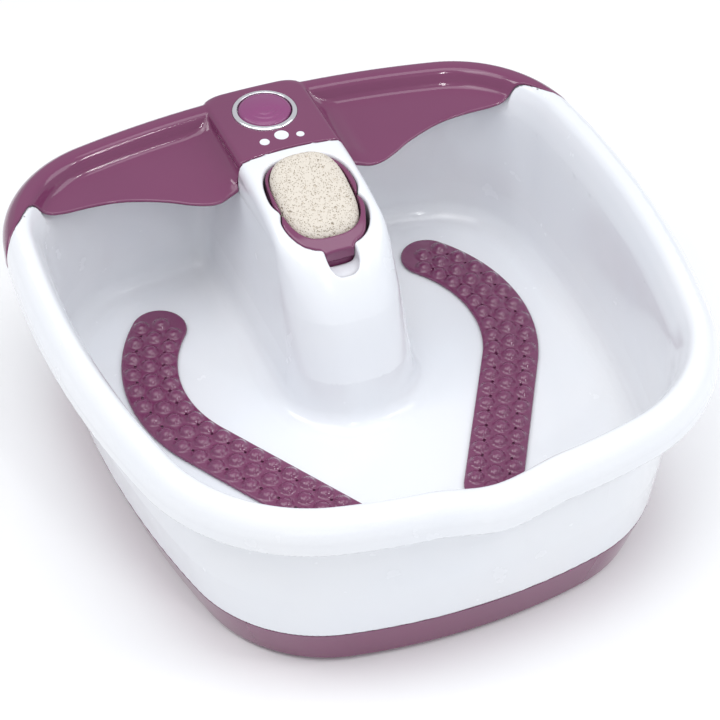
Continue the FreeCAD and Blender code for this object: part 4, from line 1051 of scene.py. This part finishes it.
def strips():
    margin = np.array([2.5, 2.5, 1.0])
    low, high = STRIP_LOW - margin, STRIP_HIGH + margin
    right = field_object("massage_strip_right", strip_field, low, high, 0.9, 150000)

    def mirrored(x, y, z):
        return strip_field(-x, y, z)
    left = field_object("massage_strip_left", mirrored, (-high[0], low[1], low[2]),
                        (-low[0], high[1], high[2]), 0.9, 150000)
    return right, left


# ---------------------------------------------------------------- stage, light and camera
CAMERA_TARGET = Vector((7.76, 25.6, 50.24)) * MM
CAMERA_DISTANCE = 1.50707
CAMERA_AZIMUTH, CAMERA_ELEVATION, CAMERA_ROLL = -23.6, 43.04, 1.03
CAMERA_LENS = 119.7


def facing(place, target, roll=0.0):
    """Matrix of something at place that looks at target, -Z forward."""
    back = (place - target).normalized()
    right = Vector((0, 0, 1)).cross(back).normalized()
    up = back.cross(right)
    turn = math.radians(roll)
    x = right * math.cos(turn) + up * math.sin(turn)
    y = up * math.cos(turn) - right * math.sin(turn)
    matrix = Matrix((x, y, back)).transposed().to_4x4()
    matrix.translation = place
    return matrix


def around(target, azimuth, elevation, distance):
    az, el = math.radians(azimuth), math.radians(elevation)
    direction = Vector((math.sin(az) * math.cos(el), -math.cos(az) * math.cos(el), math.sin(el)))
    return target + direction * distance


def add_camera():
    camera = bpy.data.cameras.new("camera")
    camera.lens = CAMERA_LENS
    camera.sensor_width = 36.0
    item = add_object("camera", camera)
    place = around(CAMERA_TARGET, CAMERA_AZIMUTH, CAMERA_ELEVATION, CAMERA_DISTANCE)
    item.matrix_world = facing(place, CAMERA_TARGET, CAMERA_ROLL)
    bpy.context.scene.camera = item


def softbox(name, azimuth, elevation, distance, size, power, colour=(1, 1, 1), roll=0.0):
    light = bpy.data.lights.new(name, "AREA")
    light.shape = "RECTANGLE"
    light.size, light.size_y = size
    light.energy = power
    light.color = colour
    item = add_object(name, light)
    item.matrix_world = facing(around(CAMERA_TARGET, azimuth, elevation, distance), CAMERA_TARGET, roll)


def add_lights():
    softbox("key", -55, 62, 1.7, (0.9, 0.7), 4.4)
    softbox("fill", 75, 38, 1.9, (1.0, 0.9), 5.2, (0.94, 0.97, 1.0))
    softbox("overhead", 0, 84, 1.4, (1.0, 0.8), 4.6, (0.97, 0.98, 1.0))
    for azimuth, width in ((40, 0.17), (0, 0.13)):
        softbox(f"streak_low_{azimuth}", azimuth, 44, 1.6, (width, 0.03), 0.9)
        softbox(f"streak_high_{azimuth}", azimuth, 51, 1.6, (width, 0.03), 0.9)
    softbox("glint", 54, 42, 1.6, (0.09, 0.06), 0.7)
    softbox("front", -20, 14, 1.9, (0.9, 0.4), 1.1)
    softbox("side", -105, 50, 1.7, (0.7, 0.5), 5.0)
    world = bpy.data.worlds.new("studio")
    world.use_nodes = True
    world.node_tree.nodes["Background"].inputs["Color"].default_value = (0.93, 0.95, 1.0, 1.0)
    world.node_tree.nodes["Background"].inputs["Strength"].default_value = 0.60
    bpy.context.scene.world = world
    bpy.context.scene.view_settings.view_transform = "Standard"


def add_floor():
    half = 3.0
    corners = [(-half, -half, 0), (half, -half, 0), (half, half, 0), (-half, half, 0)]
    mesh = bpy.data.meshes.new("floor")
    mesh.from_pydata(corners, [], [(0, 1, 2, 3)])
    material = plain("studio_floor", (0.96, 0.96, 0.96), Roughness=0.8, Specular_IOR_Level=0.1)
    vary_colour(material, noise(material, 2.0, 2.0), (0.96, 0.96, 0.96), (0.97, 0.97, 0.97))
    mesh.materials.append(material)
    add_object("floor", mesh)


# ---------------------------------------------------------------- assembly
def tub():
    return field_object("basin_shell", tub_field, (-198, -200.5, 29), (198, 200.5, 151), 1.5, 190000)


finish_cad_nodes()
dress(tub(), "basin", "white_plastic", "basin_tub")
dress(splash_guard(), "basin", "purple_plastic", "splash_guard")
cap = field_object("toe_button_cap", button_field, (-21, BUTTON_Y - 21, 141), (21, BUTTON_Y + 21, 154),
                   0.5, 90000)
dress(cap, "button", "button_plastic", "toe_button")
dress(ring_object(), "basin", "bright_ring", "button_ring")
for dot in bubble_mark():
    dress(dot, "basin", "white_plastic")
coil = dress(spring_object(), "basin", "spring_steel", "button_spring")
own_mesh(coil)
dress(field_object("stone_tray", tray_field, HOLDER_LOW - 3, HOLDER_HIGH + 3, 0.7, 120000),
      "stone", "purple_plastic", "stone_holder")
dress(field_object("pumice_block", stone_field, STONE_LOW - 2, STONE_HIGH + 2, 0.5, 180000),
      "stone", "pumice", "pumice_stone")
for strip, side in zip(strips(), ("right", "left")):
    dress(strip, "basin", "purple_plastic", "bubble_strip_" + side)

add_floor()
add_lights()
add_camera()
